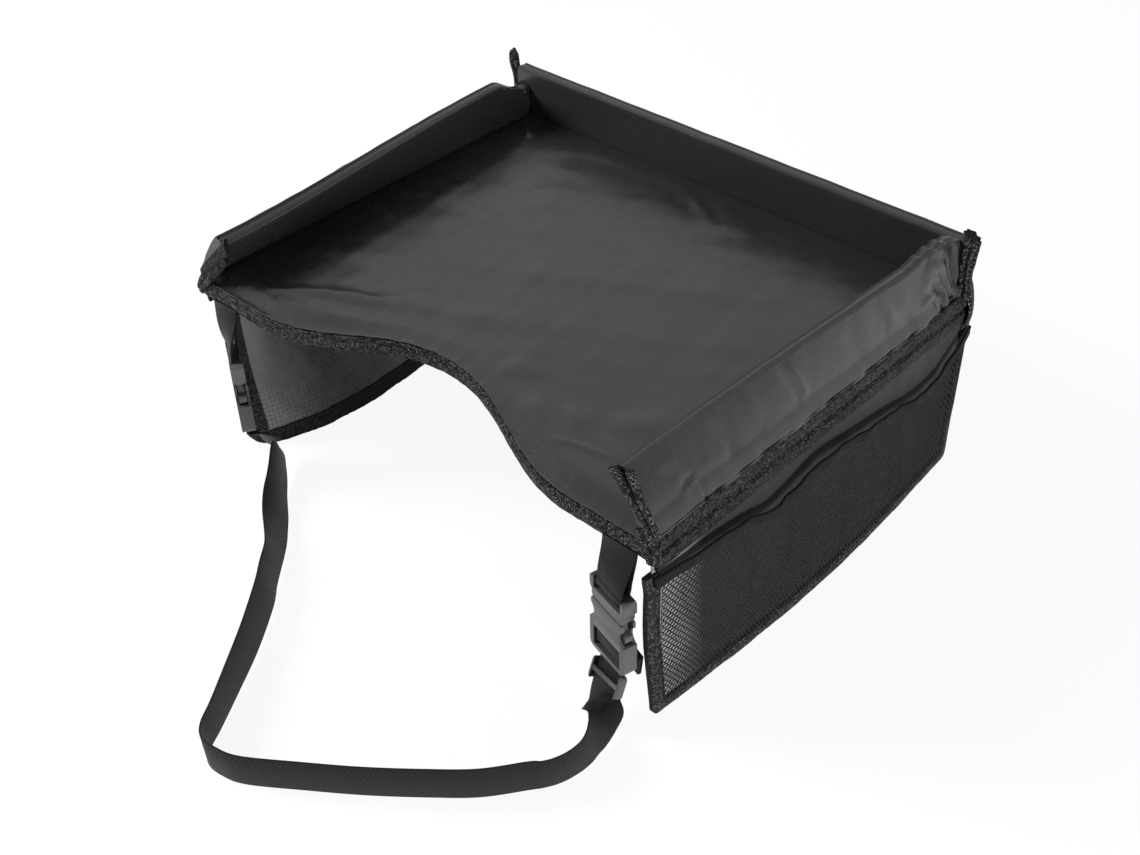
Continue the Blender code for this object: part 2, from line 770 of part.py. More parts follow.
def prong(side, name, hand, looks, holder):
    """One springy prong of a plug, with the barb that shows in the socket's side window."""
    frame = buckle_frame(side)
    top = -PLUG_HEIGHT - FIT_GAP
    inner = hand * (PRONG_OFFSET - PRONG_WIDTH / 2)
    outer = hand * (PRONG_OFFSET + PRONG_WIDTH / 2)
    barb = outer + hand * BARB_STANDOUT
    tip = top - PRONG_LENGTH
    outline = (
        (inner, top),
        (outer, top),
        (outer, tip + BARB_LENGTH),
        (barb, tip + BARB_LENGTH),
        (barb, tip + BARB_LENGTH / 2),
        (outer, tip),
        (inner, tip),
    )
    body = add(name, plate(outline, PRONG_THICKNESS), looks["plastic"], holder, frame)
    soften(body, PLASTIC_EDGE / 2)


def socket(side, name, looks, holder):
    """The buckle's socket: an open-mouthed case above a two-slot ladder for the belt."""
    half = BUCKLE_WIDTH / 2
    frame = buckle_frame(side)
    top, bottom = -SOCKET_TOP, -SOCKET_BOTTOM
    waist = half - SIDE_WALL / 2
    outline = (
        (-waist, top),
        (waist, top),
        (half, top - WINDOW_DEPTH),
        (half, bottom + SIDE_WALL),
        (waist, bottom),
        (-waist, bottom),
        (-half, bottom + SIDE_WALL),
        (-half, top - WINDOW_DEPTH),
    )
    body = add(f"{name}_buckle_socket", plate(outline, BUCKLE_THICKNESS), looks["plastic"], holder, frame)
    soften(body, PLASTIC_EDGE)
    past = BUCKLE_THICKNESS
    inside = half - SIDE_WALL
    mouth = (
        (-half - past, top + past),
        (half + past, top + past),
        (half + past, top - WINDOW_DEPTH),
        (inside, top - WINDOW_DEPTH),
        (inside, top - CAVITY_DEPTH),
        (-inside, top - CAVITY_DEPTH),
        (-inside, top - WINDOW_DEPTH),
        (-half - past, top - WINDOW_DEPTH),
    )
    cut(body, "mouth", plate(mouth, CAVITY_THICKNESS), holder, frame)
    slot = WEBBING_WIDTH / 2 + WEBBING_SLOT_CLEARANCE
    high = -LADDER_TOP - LADDER_BAR_HEIGHT
    low = high - LADDER_BAR_HEIGHT - 2 * LADDER_SLOT_HEIGHT
    cut(body, "ladder", block((-slot, -past, low), (slot, past, high)), holder, frame)
    held = slot + SIDE_WALL / 2
    thin = LADDER_BAR_THICKNESS / 2
    bar_low = low + LADDER_SLOT_HEIGHT
    bar = block((-held, -thin, bar_low), (held, thin, bar_low + LADDER_BAR_HEIGHT))
    join(body, "ladder_bar", bar, holder, frame)


def belt_ends():
    """Where the belt leaves the two sockets' ladder bars, below the buckles."""
    drop = BUCKLE_TOP - SOCKET_BOTTOM - WEBBING_THICKNESS / 2 - FIT_GAP
    return (*buckle_place(-1), drop), (*buckle_place(1), drop)


# The belt's way over the floor, as shares of the tabs' spread and of the belt's reach.
# Its first points are where it twists from lying flat below the buckle onto its edge.
TWIST_STATIONS = 4
BELT_ROUTE_shares = (
    (-0.885, 0.055),
    (-0.790, 0.085),
    (-0.690, 0.130),
    (-0.560, 0.210),
    (-0.440, 0.310),
    (-0.350, 0.385),
    (-0.240, 0.480),
    (-0.110, 0.630),
    (0.000, 0.775),
    (0.085, 0.890),
    (0.135, 0.962),
    (0.185, 0.994),
    (0.255, 0.992),
    (0.340, 0.965),
    (0.500, 0.865),
    (0.660, 0.760),
    (0.810, 0.650),
    (0.940, 0.545),
    (1.040, 0.430),
    (1.105, 0.310),
    (1.120, 0.225),
)


def belt_tail(looks, holder):
    """The belt's doubled and sewn end, which stands out beside the right socket."""
    behind = (BUCKLE_THICKNESS + TAIL_THICKNESS) / 2 + FIT_GAP
    half, reach = WEBBING_WIDTH / 2, TAIL_LENGTH / 2
    outline = ((-half, -reach), (half, -reach), (half, reach), (-half, reach))
    body = plate(outline, TAIL_THICKNESS)
    place = buckle_frame(1) @ Matrix.Translation((TAIL_SHIFT, behind, TAIL_RISE - SOCKET_BOTTOM))
    turn = place @ Matrix.Rotation(TAIL_TURN, 4, "Y")
    add("belt_tail", body, looks["webbing"], holder, turn)


def glide_axes():
    """The way the belt runs through the adjuster, across it, and out of its face."""
    heading = Vector(GLIDE_HEADING_shares).normalized()
    out = heading.cross(Vector(GLIDE_ACROSS_shares)).normalized()
    return heading, out.cross(heading).normalized(), out


def belt(looks, holder):
    """The long webbing, standing on its edge on the floor between the two sockets."""
    left, right = belt_ends()
    half = WEBBING_WIDTH / 2
    lean = math.sin(BELT_LEAN)
    low = half + BELT_FLOOR_GAP
    stations = [(left, (math.cos(LEFT_BUCKLE_TURN), math.sin(LEFT_BUCKLE_TURN), 0))]
    for i, (x_share, y_share) in enumerate(BELT_ROUTE_shares):
        x, y, z = x_share * TAB_SPREAD, TAB_Y - y_share * BELT_REACH, low
        if i < TWIST_STATIONS:
            share = (i + 1) / (TWIST_STATIONS + 1)
            across = Vector(stations[0][1]).lerp(Vector((0, 0, 1)), smooth(share))
            z = lerp(left[2], low, smooth((i + 1) / TWIST_STATIONS))
        else:
            outward = lean * (1 - smooth((x + TAB_SPREAD / 4) / (TAB_SPREAD / 2)))
            across = Vector((-outward, -outward, 1))
        stations.append(((x, y, z), across))
    heading, across, out = glide_axes()
    glide_end = GLIDE_START + GLIDE_LENGTH + GLIDE_TRAVEL
    low_end = Vector(right) + heading * (glide_end + GLIDE_RUN_OUT)
    last = Vector(stations[-1][0])
    middle = (last + low_end) / 2 + Vector((half / 4, 0, 0))
    stations.append((tuple(middle), (Vector((0, 0, 1)) + across) / 2))
    stations.append((tuple(low_end), across))
    for run in (glide_end, GLIDE_START):
        stations.append((tuple(Vector(right) + heading * run), across))
    stations.append((right, (math.cos(RIGHT_BUCKLE_TURN), math.sin(RIGHT_BUCKLE_TURN), 0)))
    add("belt_webbing", ribbon(stations), looks["webbing"], holder)


def glide(looks, holder):
    """The slide adjuster: a frame whose middle bar lies on one side of the belt."""
    start = Vector(belt_ends()[1])
    heading, across, out = glide_axes()
    turn = Matrix((across, out, -heading)).transposed().to_4x4()
    frame = Matrix.Translation(start + heading * GLIDE_START) @ turn
    half = GLIDE_WIDTH / 2
    deep = WEBBING_THICKNESS / 2 + GLIDE_STRAP_GAP + GLIDE_BAR_THICKNESS
    body = add(
        "slide_adjuster",
        block((-half, -deep, -GLIDE_LENGTH), (half, deep, 0)),
        looks["plastic"],
        holder,
        frame,
    )
    soften(body, PLASTIC_EDGE / 2)
    slot = WEBBING_WIDTH / 2 + WEBBING_SLOT_CLEARANCE
    inner = WEBBING_THICKNESS / 2 + GLIDE_STRAP_GAP
    past = deep + GLIDE_BAR
    window = block((-slot, -past, GLIDE_BAR - GLIDE_LENGTH), (slot, past, -GLIDE_BAR))
    cut(body, "window", window, holder, frame)
    wide = slot + FIT_GAP
    way = block((-wide, -inner, -GLIDE_LENGTH - past), (wide, past, past))
    cut(body, "strap_way", way, holder, frame)
    held = (slot + half) / 2
    middle = -GLIDE_LENGTH / 2
    bar = block((-held, inner, middle - GLIDE_BAR / 2), (held, deep - FIT_GAP, middle + GLIDE_BAR / 2))
    join(body, "middle_bar", bar, holder, frame)


def settle(root):
    """Put the whole object's middle over the origin, standing on the floor."""
    bpy.context.view_layer.update()
    graph = bpy.context.evaluated_depsgraph_get()
    spots = []
    for item in bpy.context.scene.objects:
        if item.type == "MESH" and not item.hide_render:
            shown = item.evaluated_get(graph)
            spots += [shown.matrix_world @ vert.co for vert in shown.data.vertices]
    low = Vector([min(spot[axis] for spot in spots) for axis in range(3)])
    high = Vector([max(spot[axis] for spot in spots) for axis in range(3)])
    root.location = (-(low.x + high.x) / 2, -(low.y + high.y) / 2, -low.z)
    print("moved by", [round(value, 6) for value in root.location])
    print("size", [round(value, 4) for value in high - low])


def main():
    for item in list(bpy.data.objects):
        bpy.data.objects.remove(item, do_unlink=True)
    looks = {
        "nylon": material("nylon_cover", NYLON_RGB, 0.55),
        "liner": material("nylon_underside", LINER_RGB, 0.65),
        "tape": material("grosgrain_tape", TAPE_RGB, 0.75),
        "foam": material("foam_board", FOAM_RGB, 0.9),
        "net": material("polyester_net", NET_RGB, 0.7),
        "webbing": material("polypropylene_webbing", WEBBING_RGB, 0.7),
        "plastic": material("acetal_plastic", PLASTIC_RGB, 0.4),
    }
    root = empty("tray_frame", (0, 0, 0))
    top_cover(looks["nylon"], root)
    tray_cloth(
        "tray_board", looks["foam"], root, BOARD_TOP, BOARD_UNDERSIDE,
        BOARD_EDGE_INSET, SKIRT_THICKNESS + BOARD_SIDE_INSET, 16, 2,
    )
    tray_cloth(
        "tray_underside_cover", looks["liner"], root, LINER_TOP, LINER_UNDERSIDE,
        BOARD_EDGE_INSET, SKIRT_THICKNESS + FIT_GAP, 16, 2,
    )
    front_binding(looks["tape"], root)
    skirts(looks["nylon"], root)
    rim_bindings(looks["tape"], root)
    corner_tacks(looks["tape"], root)
    for side, name in ((-1, "left"), (1, "right")):
        hinge = empty(f"{name}_wall_hinge", (side * SIDE_HINGE_X, 0, WALL_BASE), root)
        side_wall(side, name, looks, hinge)
        corner_gusset(side, name, looks, root)
        hinge = empty(f"{name}_panel_hinge", (side * PANEL_HINGE_X, 0, PANEL_TOP), root)
        side_panel(side, name, looks, hinge)
    back_wall(looks, empty("back_wall_hinge", (0, BACK_HINGE_Y, WALL_BASE), root))
    belt_holder = None
    for side, name in ((-1, "left"), (1, "right")):
        swing = empty(f"{name}_tab_pivot", (side * TAB_SPREAD, TAB_Y, TAB_PIVOT), root)
        tab(side, name, looks, swing)
        plug(side, name, looks, swing)
        frame = buckle_frame(side)
        for hand, letter in ((-1, "a"), (1, "b")):
            root_of_prong = frame @ Vector((hand * PRONG_OFFSET, 0, -PLUG_HEIGHT))
            flex = empty(f"{name}_prong_{letter}_flex", root_of_prong, swing)
            prong(side, f"{name}_prong_{letter}", hand, looks, flex)
        belt_holder = belt_holder or empty("belt_slide", frame.translation, swing)
        socket(side, name, looks, belt_holder)
    belt(looks, belt_holder)
    belt_tail(looks, belt_holder)
    glide(looks, empty("adjuster_slide", belt_ends()[1], belt_holder))
    settle(root)


main()
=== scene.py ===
"""Car seat tray table: the cloth, tapes, nets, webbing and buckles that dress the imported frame.

Every piece is made in the tray's own frame: X across the tray, -Y towards the child and the
belly cut-out, +Z up, the tray's middle at x = y = 0 and the floor at z = 0. ORIGIN moves it
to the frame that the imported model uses. All lengths are in metres.
"""
import math

import bmesh
import bpy
import numpy as np
from bpy.props import FloatProperty, FloatVectorProperty, PointerProperty
from mathutils import Matrix, Vector


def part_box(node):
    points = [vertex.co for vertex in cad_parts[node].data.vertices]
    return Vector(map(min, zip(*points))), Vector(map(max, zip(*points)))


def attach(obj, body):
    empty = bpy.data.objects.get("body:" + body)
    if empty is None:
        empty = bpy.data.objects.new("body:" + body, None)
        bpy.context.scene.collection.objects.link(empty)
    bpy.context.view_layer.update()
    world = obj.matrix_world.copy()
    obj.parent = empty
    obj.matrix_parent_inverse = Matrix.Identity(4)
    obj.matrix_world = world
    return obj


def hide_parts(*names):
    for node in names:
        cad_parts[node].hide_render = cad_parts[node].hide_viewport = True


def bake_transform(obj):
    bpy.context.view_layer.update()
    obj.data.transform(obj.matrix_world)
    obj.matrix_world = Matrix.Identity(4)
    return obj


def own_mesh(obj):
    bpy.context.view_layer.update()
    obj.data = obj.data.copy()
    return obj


bl_info = {
    "name": "Tray table dressing",
    "version": (1, 0, 0),
    "blender": (4, 5, 0),
    "location": "3D View > Sidebar > Tray table",
    "description": "Nylon, tape, net, webbing and buckles for a car seat tray table",
    "category": "Object",
}

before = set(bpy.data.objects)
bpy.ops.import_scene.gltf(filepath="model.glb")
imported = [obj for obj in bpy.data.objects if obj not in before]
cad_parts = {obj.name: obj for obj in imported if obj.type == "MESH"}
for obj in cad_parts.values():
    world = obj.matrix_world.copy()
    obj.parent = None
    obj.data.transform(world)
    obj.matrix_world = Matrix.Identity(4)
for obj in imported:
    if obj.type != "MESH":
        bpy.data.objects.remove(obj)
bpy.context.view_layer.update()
SIDES = ((1, "right"), (-1, "left"))
MM = 0.001
UP = np.array([0.0, 0.0, 1.0])

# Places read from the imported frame
LEFT_EDGE_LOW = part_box("left_edge_cover")[0]
RIGHT_EDGE_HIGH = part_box("right_edge_cover")[1]
RIM_TAPE_LOW, RIM_TAPE_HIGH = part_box("right_rim_binding")
TRAY_DEPTH = 0.322
TRAY_WIDTH = RIGHT_EDGE_HIGH.x - LEFT_EDGE_LOW.x
HALF_WIDTH = TRAY_WIDTH / 2
HALF_DEPTH = TRAY_DEPTH / 2
ORIGIN = Vector((LEFT_EDGE_LOW.x + HALF_WIDTH, RIGHT_EDGE_HIGH.y - HALF_DEPTH, 0))
TRAY_TOP = RIGHT_EDGE_HIGH.z
RIM_TOP = RIM_TAPE_HIGH.z
RIM_BOTTOM = RIM_TAPE_LOW.z

# Front edge and belly cut-out
BELLY_HALF_WIDTH = 0.140
BELLY_DEPTH = 0.040
MIDDLE_EDGE_DROP = 0.0015
LOBE_EDGE_DROP = 0.0085
EDGE_DROP_RUN = 0.014
CLOTH = 0.001
CLOTH_INSET = 0.0018
LINING_INSET = 0.0022
LINING_TUCK = 0.0035
LINING_TUCK_RUN = 0.016
LINING_SAG = 0.0012
GAP = 0.0003

# Walls. A pair of leans is a side wall's lean at its front and at its back end.
WALL_HEIGHT = 0.036
WALL_THICKNESS = 0.010
WALL_FOOT = TRAY_TOP + 0.0004
WALL_FRONT = -HALF_DEPTH - 0.0001
SIDE_SKIRT = 0.013
SIDE_HINGE = HALF_WIDTH - SIDE_SKIRT
BACK_HINGE = HALF_DEPTH - 0.0115
SIDE_LEANS = {
    1: (math.radians(28), math.radians(10)),
    -1: (math.radians(36), math.radians(4)),
}
BACK_LEAN = math.radians(2)
BOARD_END = {1: BACK_HINGE - 0.052, -1: BACK_HINGE - 0.041}
FOLD_LOW = TRAY_TOP - 0.006
FOLD_HIGH = TRAY_TOP + 0.005
RELIEF_FOOT = 0.014
FOOT_RELIEF_LIMIT = 0.0002

# Tapes
TAPE_WIDTH = 0.010
FRONT_TAPE_WIDTH = 0.011
FRONT_TAPE_THICKNESS = 0.0026
FRONT_TAPE_SET_BACK = 0.0011
FRONT_TAPE_GROOVES = ((0.80, 0.0007), (0.12, 0.0004))
FRONT_STITCH_SHARES = (0.80,)
RIM_TAPE_WIDTH = RIM_TOP - RIM_BOTTOM + 0.85 * (TRAY_TOP - RIM_TOP)
RIM_TAPE_THICKNESS = 0.0036
RIM_TAPE_GROOVES = ((0.46, 0.0022), (0.50, 0.0022), (0.54, 0.0022), (0.95, 0.0012))
RIM_STITCH_SHARES = (0.28, 0.74)
RIM_STITCH_LIFT = 0.0030
FLAP_THICKNESS = 0.0030
TACK_WIDTH = 0.0088
STITCH_LENGTH = 0.0027
STITCH_PITCH = 0.0034
STITCH_THICKNESS = 0.0005

# Side panels
PANEL_TOP = RIM_BOTTOM - 0.0008
PANEL_HINGE = HALF_WIDTH - 0.002
PANEL_FRONT = -HALF_DEPTH + 0.0045
PANEL_BACK = HALF_DEPTH - 0.001
PANEL_BOW = {1: 0.009, -1: 0.042}
PANEL_CLOTH = 0.0012
PANEL_TAPE_THICKNESS = 0.0034
PANEL_TAPE_BACK = 0.0012
PANEL_STITCH_SHARE = 0.78
MOUTH_FOOT = 0.088
NET_BELLY = 0.0085
NET_CELL = 0.0036
NET_STRAND = 0.00065
NET_THICKNESS = 0.00035
NET_HEIGHT = 0.108
HEM_WIDTH = 0.0072
HEM_THICKNESS = 0.0015

# Webbing and buckles
WEBBING_WIDTH = 0.025
WEBBING_THICKNESS = 0.0014
WEBBING_SLOT = WEBBING_WIDTH / 2 + 0.001
LOOP_THICKNESS = 0.0012
TAB_LOOP_DEPTH = 0.0031
TAB_SPREAD = HALF_WIDTH - 0.0245
TAB_Y = -HALF_DEPTH - 0.0015
BUCKLE_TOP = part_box("right_buckle_plug")[1].z
BUCKLE_WIDTH = 0.035
BUCKLE_THICKNESS = 0.0096
PLUG_THICKNESS = 0.0090
PLUG_HEIGHT = 0.0165
PLUG_BAR = 0.0042
PLUG_SLOT = 0.0045
PLUG_EAR = 0.002
SOCKET_TOP = 0.0172
SOCKET_LENGTH = 0.0405
SOCKET_BOTTOM = SOCKET_TOP + SOCKET_LENGTH
SOCKET_WINDOW = 0.0165
SOCKET_SHELF = 0.0045
SOCKET_CORNER = 0.004
SOCKET_MOUTH = 0.0060
SIDE_WALL = 0.0032
LADDER_BAR = 0.0032
LADDER_SLOT = 0.0055
PRONG_OFFSET = 0.0100
PRONG_WIDTH = 0.0034
PRONG_LENGTH = 0.0185
PRONG_THICKNESS = 0.0052
BARB_LENGTH = 0.0095
BARB_STANDOUT = 0.0050
BELT_REACH = 0.198
BELT_LEAN = math.radians(15)
BELT_FLOOR_GAP = 0.0005
GLIDE_LENGTH = 0.015
GLIDE_WIDTH = 0.031
GLIDE_BAR = 0.0030
GLIDE_START = 0.0050
GLIDE_CORNER = 0.003
GLIDE_CLEARANCE = 0.0004
GLIDE_FACE = 0.0016
GLIDE_HEADING = (0.05, -0.45, -0.80)
GLIDE_ACROSS = (0.93, -0.32, 0.16)
BUCKLE_TURN = {1: math.radians(-15), -1: math.radians(-31)}
BUCKLE_SHIFT = {1: (0.0, 0.0055), -1: (0.012, 0.0080)}

# The stage, and the photograph's camera in the tray's frame
FLOOR_REACH = 30.0
FLOOR_DROP = 0.0002
PAPER_ROUGHNESS = 0.9
PAPER_WHITE = 0.92
ROOM_LIGHT = 0.25
ROOM_UP = (-0.3, 0.2, 0.93)
ROOM_GLOW = (0.3, 0.94)
LAMPS = (
    ("key_light", (-1.5, -0.9, 1.25), 0.8, 80),
    ("side_light", (2.2, -0.1, 0.14), 0.9, 115),
)
LAMP_AIM = (0, 0, 0.1)
CAMERA_PLACE = (0.5733, -0.6133, 0.6912)
CAMERA_AZIMUTH = math.radians(43.68)
CAMERA_ELEVATION = math.radians(38.73)
CAMERA_ROLL = math.radians(-1.59)
CAMERA_LENS_MM = 46.97
CAMERA_CLIP = (0.01, 100)
SENSOR_MM = 36

# How finely the cloth and the tapes are drawn
FLOOR_GRID = (230, 170)
LINING_GRID = (120, 90)
PANEL_GRID = (150, 60)
SIDE_WALL_STATIONS = 175
BACK_WALL_STATIONS = 150
CORNER_STATIONS = 130
FRONT_TAPE_STATIONS = 260
LONG_TAPE_STATIONS = 170
FLAP_STATIONS = 50
LEAF_STATIONS = 60
TACK_STATIONS = 30
ROLL_GRID = (70, 48)
BELT_STATIONS = 330
TAB_STATIONS = 90
SMOOTH_ANGLE = math.radians(40)
MOULDING_ANGLE = math.radians(35)
BEVEL_ANGLE = math.radians(32)
STITCH_ANGLE = math.radians(80)
looks = {}


def linear(hex_colour):
    """Turn an sRGB hex colour into linear red, green and blue."""
    made = []
    for i in (1, 3, 5):
        value = int(hex_colour[i:i + 2], 16) / 255
        made.append(value / 12.92 if value <= 0.04045 else ((value + 0.055) / 1.055) ** 2.4)
    return tuple(made)


def length_property(name, description, default):
    """A length that a user may change."""
    return FloatProperty(
        name=name, description=description, default=default, unit="LENGTH", subtype="DISTANCE",
    )


def colour_property(name, description, colour):
    """A colour that a user may change."""
    return FloatVectorProperty(
        name=name, description=description, default=linear(colour), subtype="COLOR", size=3, min=0, max=1,
    )


class TrayTableSizes(bpy.types.PropertyGroup):
    """Sizes of the dressing that a user may change."""

    slack: length_property("Cloth slack", "Height of the soft waves in the tray's floor", 0.0008)
    cell: length_property("Net cell", "Width of one cell of the net", NET_CELL)
    weave: length_property("Nylon weave", "Spacing of the drawn weave of the nylon", 0.0007)


class TrayTableColours(bpy.types.PropertyGroup):
    """Colours of the dressing."""

    nylon: colour_property("Nylon", "Coated nylon of the tray, walls and panels", "#212122")
    lining: colour_property("Lining", "Lining under the tray", "#1e1e1f")
    tape: colour_property("Tape", "Grosgrain binding tape", "#0e0e0f")
    net: colour_property("Net", "Knitted polyester net", "#1a1a1b")
    webbing: colour_property("Webbing", "Polypropylene webbing", "#0d0d0e")
    plastic: colour_property("Buckles", "Moulded acetal of the buckles", "#343435")
    floor: colour_property("Floor", "Pale studio floor", "#f4f4f4")


def feed(tree, node, **links):
    """Link nodes or their outputs to a node's inputs, each by its name or by i and its number."""
    for key, source in links.items():
        socket = node.inputs[int(key[1:]) if key[1:].isdigit() else key.replace("_", " ")]
        tree.links.new(getattr(source, "outputs", [source])[0], socket)


def add_node(tree, kind, settings=None, **links):
    """Add a shader node, set its properties and inputs, and link its other inputs."""
    node = tree.nodes.new("ShaderNode" + kind)
    for key, value in (settings or {}).items():
        if key in node.inputs:
            node.inputs[key].default_value = value
        else:
            setattr(node, key, value)
    feed(tree, node, **links)
    return node


def new_look(name, base, roughness, specular=0.5, sheen=0.0):
    """A Principled material with its plain values set, and its tree."""
    made = bpy.data.materials.new(name)
    made.use_nodes = True
    shader = made.node_tree.nodes["Principled BSDF"]
    for key, value in (
        ("Base Color", (*base, 1)), ("Roughness", roughness), ("Specular IOR Level", specular),
        ("Sheen Weight", sheen), ("Sheen Roughness", 0.4),
    ):
        shader.inputs[key].default_value = value
    looks[name] = made
    return made.node_tree, shader


def tint(base, share):
    """A colour times a share."""
    return tuple(c * share for c in base)


def mix_colour(tree, factor, low, high):
    """A colour between two by a factor from 0 to 1, where each is a colour or an output."""
    node = tree.nodes.new("ShaderNodeMix")
    node.data_type = "RGBA"
    tree.links.new(factor, node.inputs[0])
    for socket, colour in ((node.inputs[6], low), (node.inputs[7], high)):
        if isinstance(colour, bpy.types.NodeSocket):
            tree.links.new(colour, socket)
        else:
            socket.default_value = (*colour, 1)
    return node.outputs[2]


def spread(tree, value, low, high, to_low=0.0, to_high=1.0):
    """Carry a value from one range to another, held at its ends."""
    settings = {"From Min": low, "From Max": high, "To Min": to_low, "To Max": to_high}
    return add_node(tree, "MapRange", settings, Value=value).outputs[0]


def combine(tree, operation, first, second):
    """Two values joined by a mathematical operation."""
    return add_node(tree, "Math", {"operation": operation}, i0=first, i1=second).outputs[0]


def noise(tree, scale, detail, place, **settings):
    """Soft noise at a place, from 0 to 1."""
    settings = {"Scale": scale, "Detail": detail, **settings}
    return add_node(tree, "TexNoise", settings, Vector=place).outputs["Fac"]


def roughen(tree, shader, height, strength, depth):
    """Raise a shader's surface by a height times a depth, on top of what raises it already."""
    bump = add_node(tree, "Bump", {"Strength": strength, "Distance": depth}, Height=height)
    for link in shader.inputs["Normal"].links:
        tree.links.new(link.from_socket, bump.inputs["Normal"])
    tree.links.new(bump.outputs[0], shader.inputs["Normal"])


def object_map(tree):
    """The place in the piece's own frame, in metres."""
    return add_node(tree, "TexCoord").outputs["Object"]


def weave_map(tree, stretch=(1, 1, 1)):
    """The cloth's own length and width, in metres, times a stretch."""
    uv = add_node(tree, "UVMap", {"uv_map": "weave"})
    return add_node(tree, "Mapping", {"Scale": stretch}, Vector=uv)


def threads(tree, spacing, direction, place):
    """Bands as wide as a thread spacing, along one direction of the cloth."""
    settings = {
        "wave_type": "BANDS", "bands_direction": direction, "wave_profile": "SIN",
        "Scale": math.pi / 10 / spacing, "Distortion": 0.0,
    }
    return add_node(tree, "TexWave", settings, Vector=place).outputs["Fac"]


def make_nylon(name, base, weave, roughness, light_through_net=0.0, painted_sheen=None, specular=0.5):
    """Coated nylon taffeta: fine plain-woven threads under a thin coat that gives a soft gloss.

    Its threads are about 0.15 mm apart. They are drawn coarser, so that they show at all.
    light_through_net is the strength of a painted light: pale cells low on the cloth, where light
    through the net's holes falls on it. painted_sheen is a place along Y, a run and a gain: the
    cloth is painted paler before that place, as a painted sheen.
    """
    tree, shader = new_look(name, base, roughness, specular, 0.02)
    place, solid = weave_map(tree), object_map(tree)
    parts = add_node(tree, "SeparateXYZ", Vector=solid).outputs
    crumple = noise(tree, 95.0, 4.0, solid, Roughness=0.55)
    cloud = noise(tree, 14.0, 3.0, solid, Roughness=0.5)
    colour = mix_colour(tree, cloud, tint(base, 0.7), tint(base, 1.3))
    # Painted light: pale cells low on the cloth, where light through the net's holes falls on it.
    if light_through_net:
        settings = {"feature": "F1", "Scale": 1 / (3.4 * MM), "Randomness": 0.12}
        cells = add_node(tree, "TexVoronoi", settings, Vector=place)
        lit_cells = spread(tree, cells.outputs["Distance"], 0.15, 0.5, light_through_net, 0.0)
        low = spread(tree, parts["Z"], 0.030, 0.075, 1.0, 0.0)
        colour = mix_colour(tree, combine(tree, "MULTIPLY", lit_cells, low), colour, tint(base, 3))
    # Painted sheen: the cloth is painted paler before a place along Y.
    if painted_sheen:
        start, run, gain = painted_sheen
        near = spread(tree, parts["Y"], start, start + run, 1.0, 0.0)
        colour = mix_colour(tree, near, colour, tint(base, gain))
    uneven = spread(tree, crumple, 0.3, 0.7, roughness - 0.05, roughness + 0.06)
    feed(tree, shader, Base_Color=colour, Roughness=uneven)
    warp, weft = (threads(tree, weave, direction, place) for direction in "XY")
    roughen(tree, shader, combine(tree, "MULTIPLY", warp, weft), 0.35, 0.06 * MM)
    roughen(tree, shader, crumple, 0.4, 0.4 * MM)


def make_tape(name, base, bright, rib, fleck):
    """Grosgrain tape: thick ribs across it, whose tops catch the light, drawn as bright painted glints in
    its colour.
    """
    tree, shader = new_look(name, base, 0.75, 0.2)
    place = weave_map(tree)
    ribs = threads(tree, rib, "X", place)
    settings = {"feature": "F1", "Scale": 1 / fleck, "Randomness": 0.75}
    grain = add_node(tree, "TexVoronoi", settings, Vector=place)
    single = add_node(tree, "SeparateColor", Color=grain.outputs["Color"]).outputs
    # Painted glints: flecks on the ribs' tops take the bright colour, standing in for their shine.
    painted_glints = combine(tree, "MULTIPLY", spread(tree, single["Red"], 0.5, 1.0), ribs)
    feed(tree, shader, Base_Color=mix_colour(tree, painted_glints, base, bright))
    roughen(tree, shader, combine(tree, "ADD", ribs, single["Green"]), 0.8, 0.35 * MM)


def make_webbing(name, base):
    """Polypropylene webbing: a slanting twill of flat threads between two plain edges."""
    tree, shader = new_look(name, base, 0.6, 0.3, 0.02)
    place = weave_map(tree)
    twill = threads(tree, 1.5 * MM, "DIAGONAL", weave_map(tree, (1, 0.55, 1)))
    both = combine(tree, "MULTIPLY", twill, threads(tree, 0.9 * MM, "X", place))
    total = combine(tree, "ADD", both, noise(tree, 400.0, 2.0, place))
    share = spread(tree, total, 0.3, 1.3)
    feed(tree, shader, Base_Color=mix_colour(tree, share, tint(base, 0.45), tint(base, 1.9)))
    roughen(tree, shader, total, 0.7, 0.3 * MM)


def make_grained(name, base, gloss, grain, shades, relief=None):
    """A dull stuff with one grain through it: a net's filament, foam's cells or thread's plies.

    gloss is its roughness and its specular level. grain is a noise's scale and detail, or the
    width of a cell. shades are the shares of the colour between which the grain goes.
    """
    tree, shader = new_look(name, base, *gloss)
    if isinstance(grain, tuple):
        value = noise(tree, *grain, object_map(tree))
    else:
        cells = add_node(tree, "TexVoronoi", {"Scale": 1 / grain}, Vector=object_map(tree))
        value = cells.outputs["Distance"]
    low, high = (tint(base, share) for share in shades)
    feed(tree, shader, Base_Color=mix_colour(tree, value, low, high))
    if relief:
        roughen(tree, shader, value, *relief)


def make_plastic(name, base):
    """Injection-moulded acetal: a fine spark-eroded grain and a satin gloss, with its sharp edges painted
    paler as a painted highlight.
    """
    tree, shader = new_look(name, base, 0.38, 0.5)
    solid = object_map(tree)
    cloud = noise(tree, 60.0, 3.0, solid)
    edges = add_node(tree, "NewGeometry").outputs["Pointiness"]
    mild = mix_colour(tree, cloud, tint(base, 0.8), tint(base, 1.2))
    # Painted highlight: the sharp edges take a paler colour.
    colour = mix_colour(tree, spread(tree, edges, 0.52, 0.62, 0.0, 0.6), mild, tint(base, 2.2))
    feed(tree, shader, Base_Color=colour, Roughness=spread(tree, cloud, 0.0, 1.0, 0.34, 0.44))
    roughen(tree, shader, noise(tree, 1400.0, 2.0, solid), 0.25, 0.05 * MM)


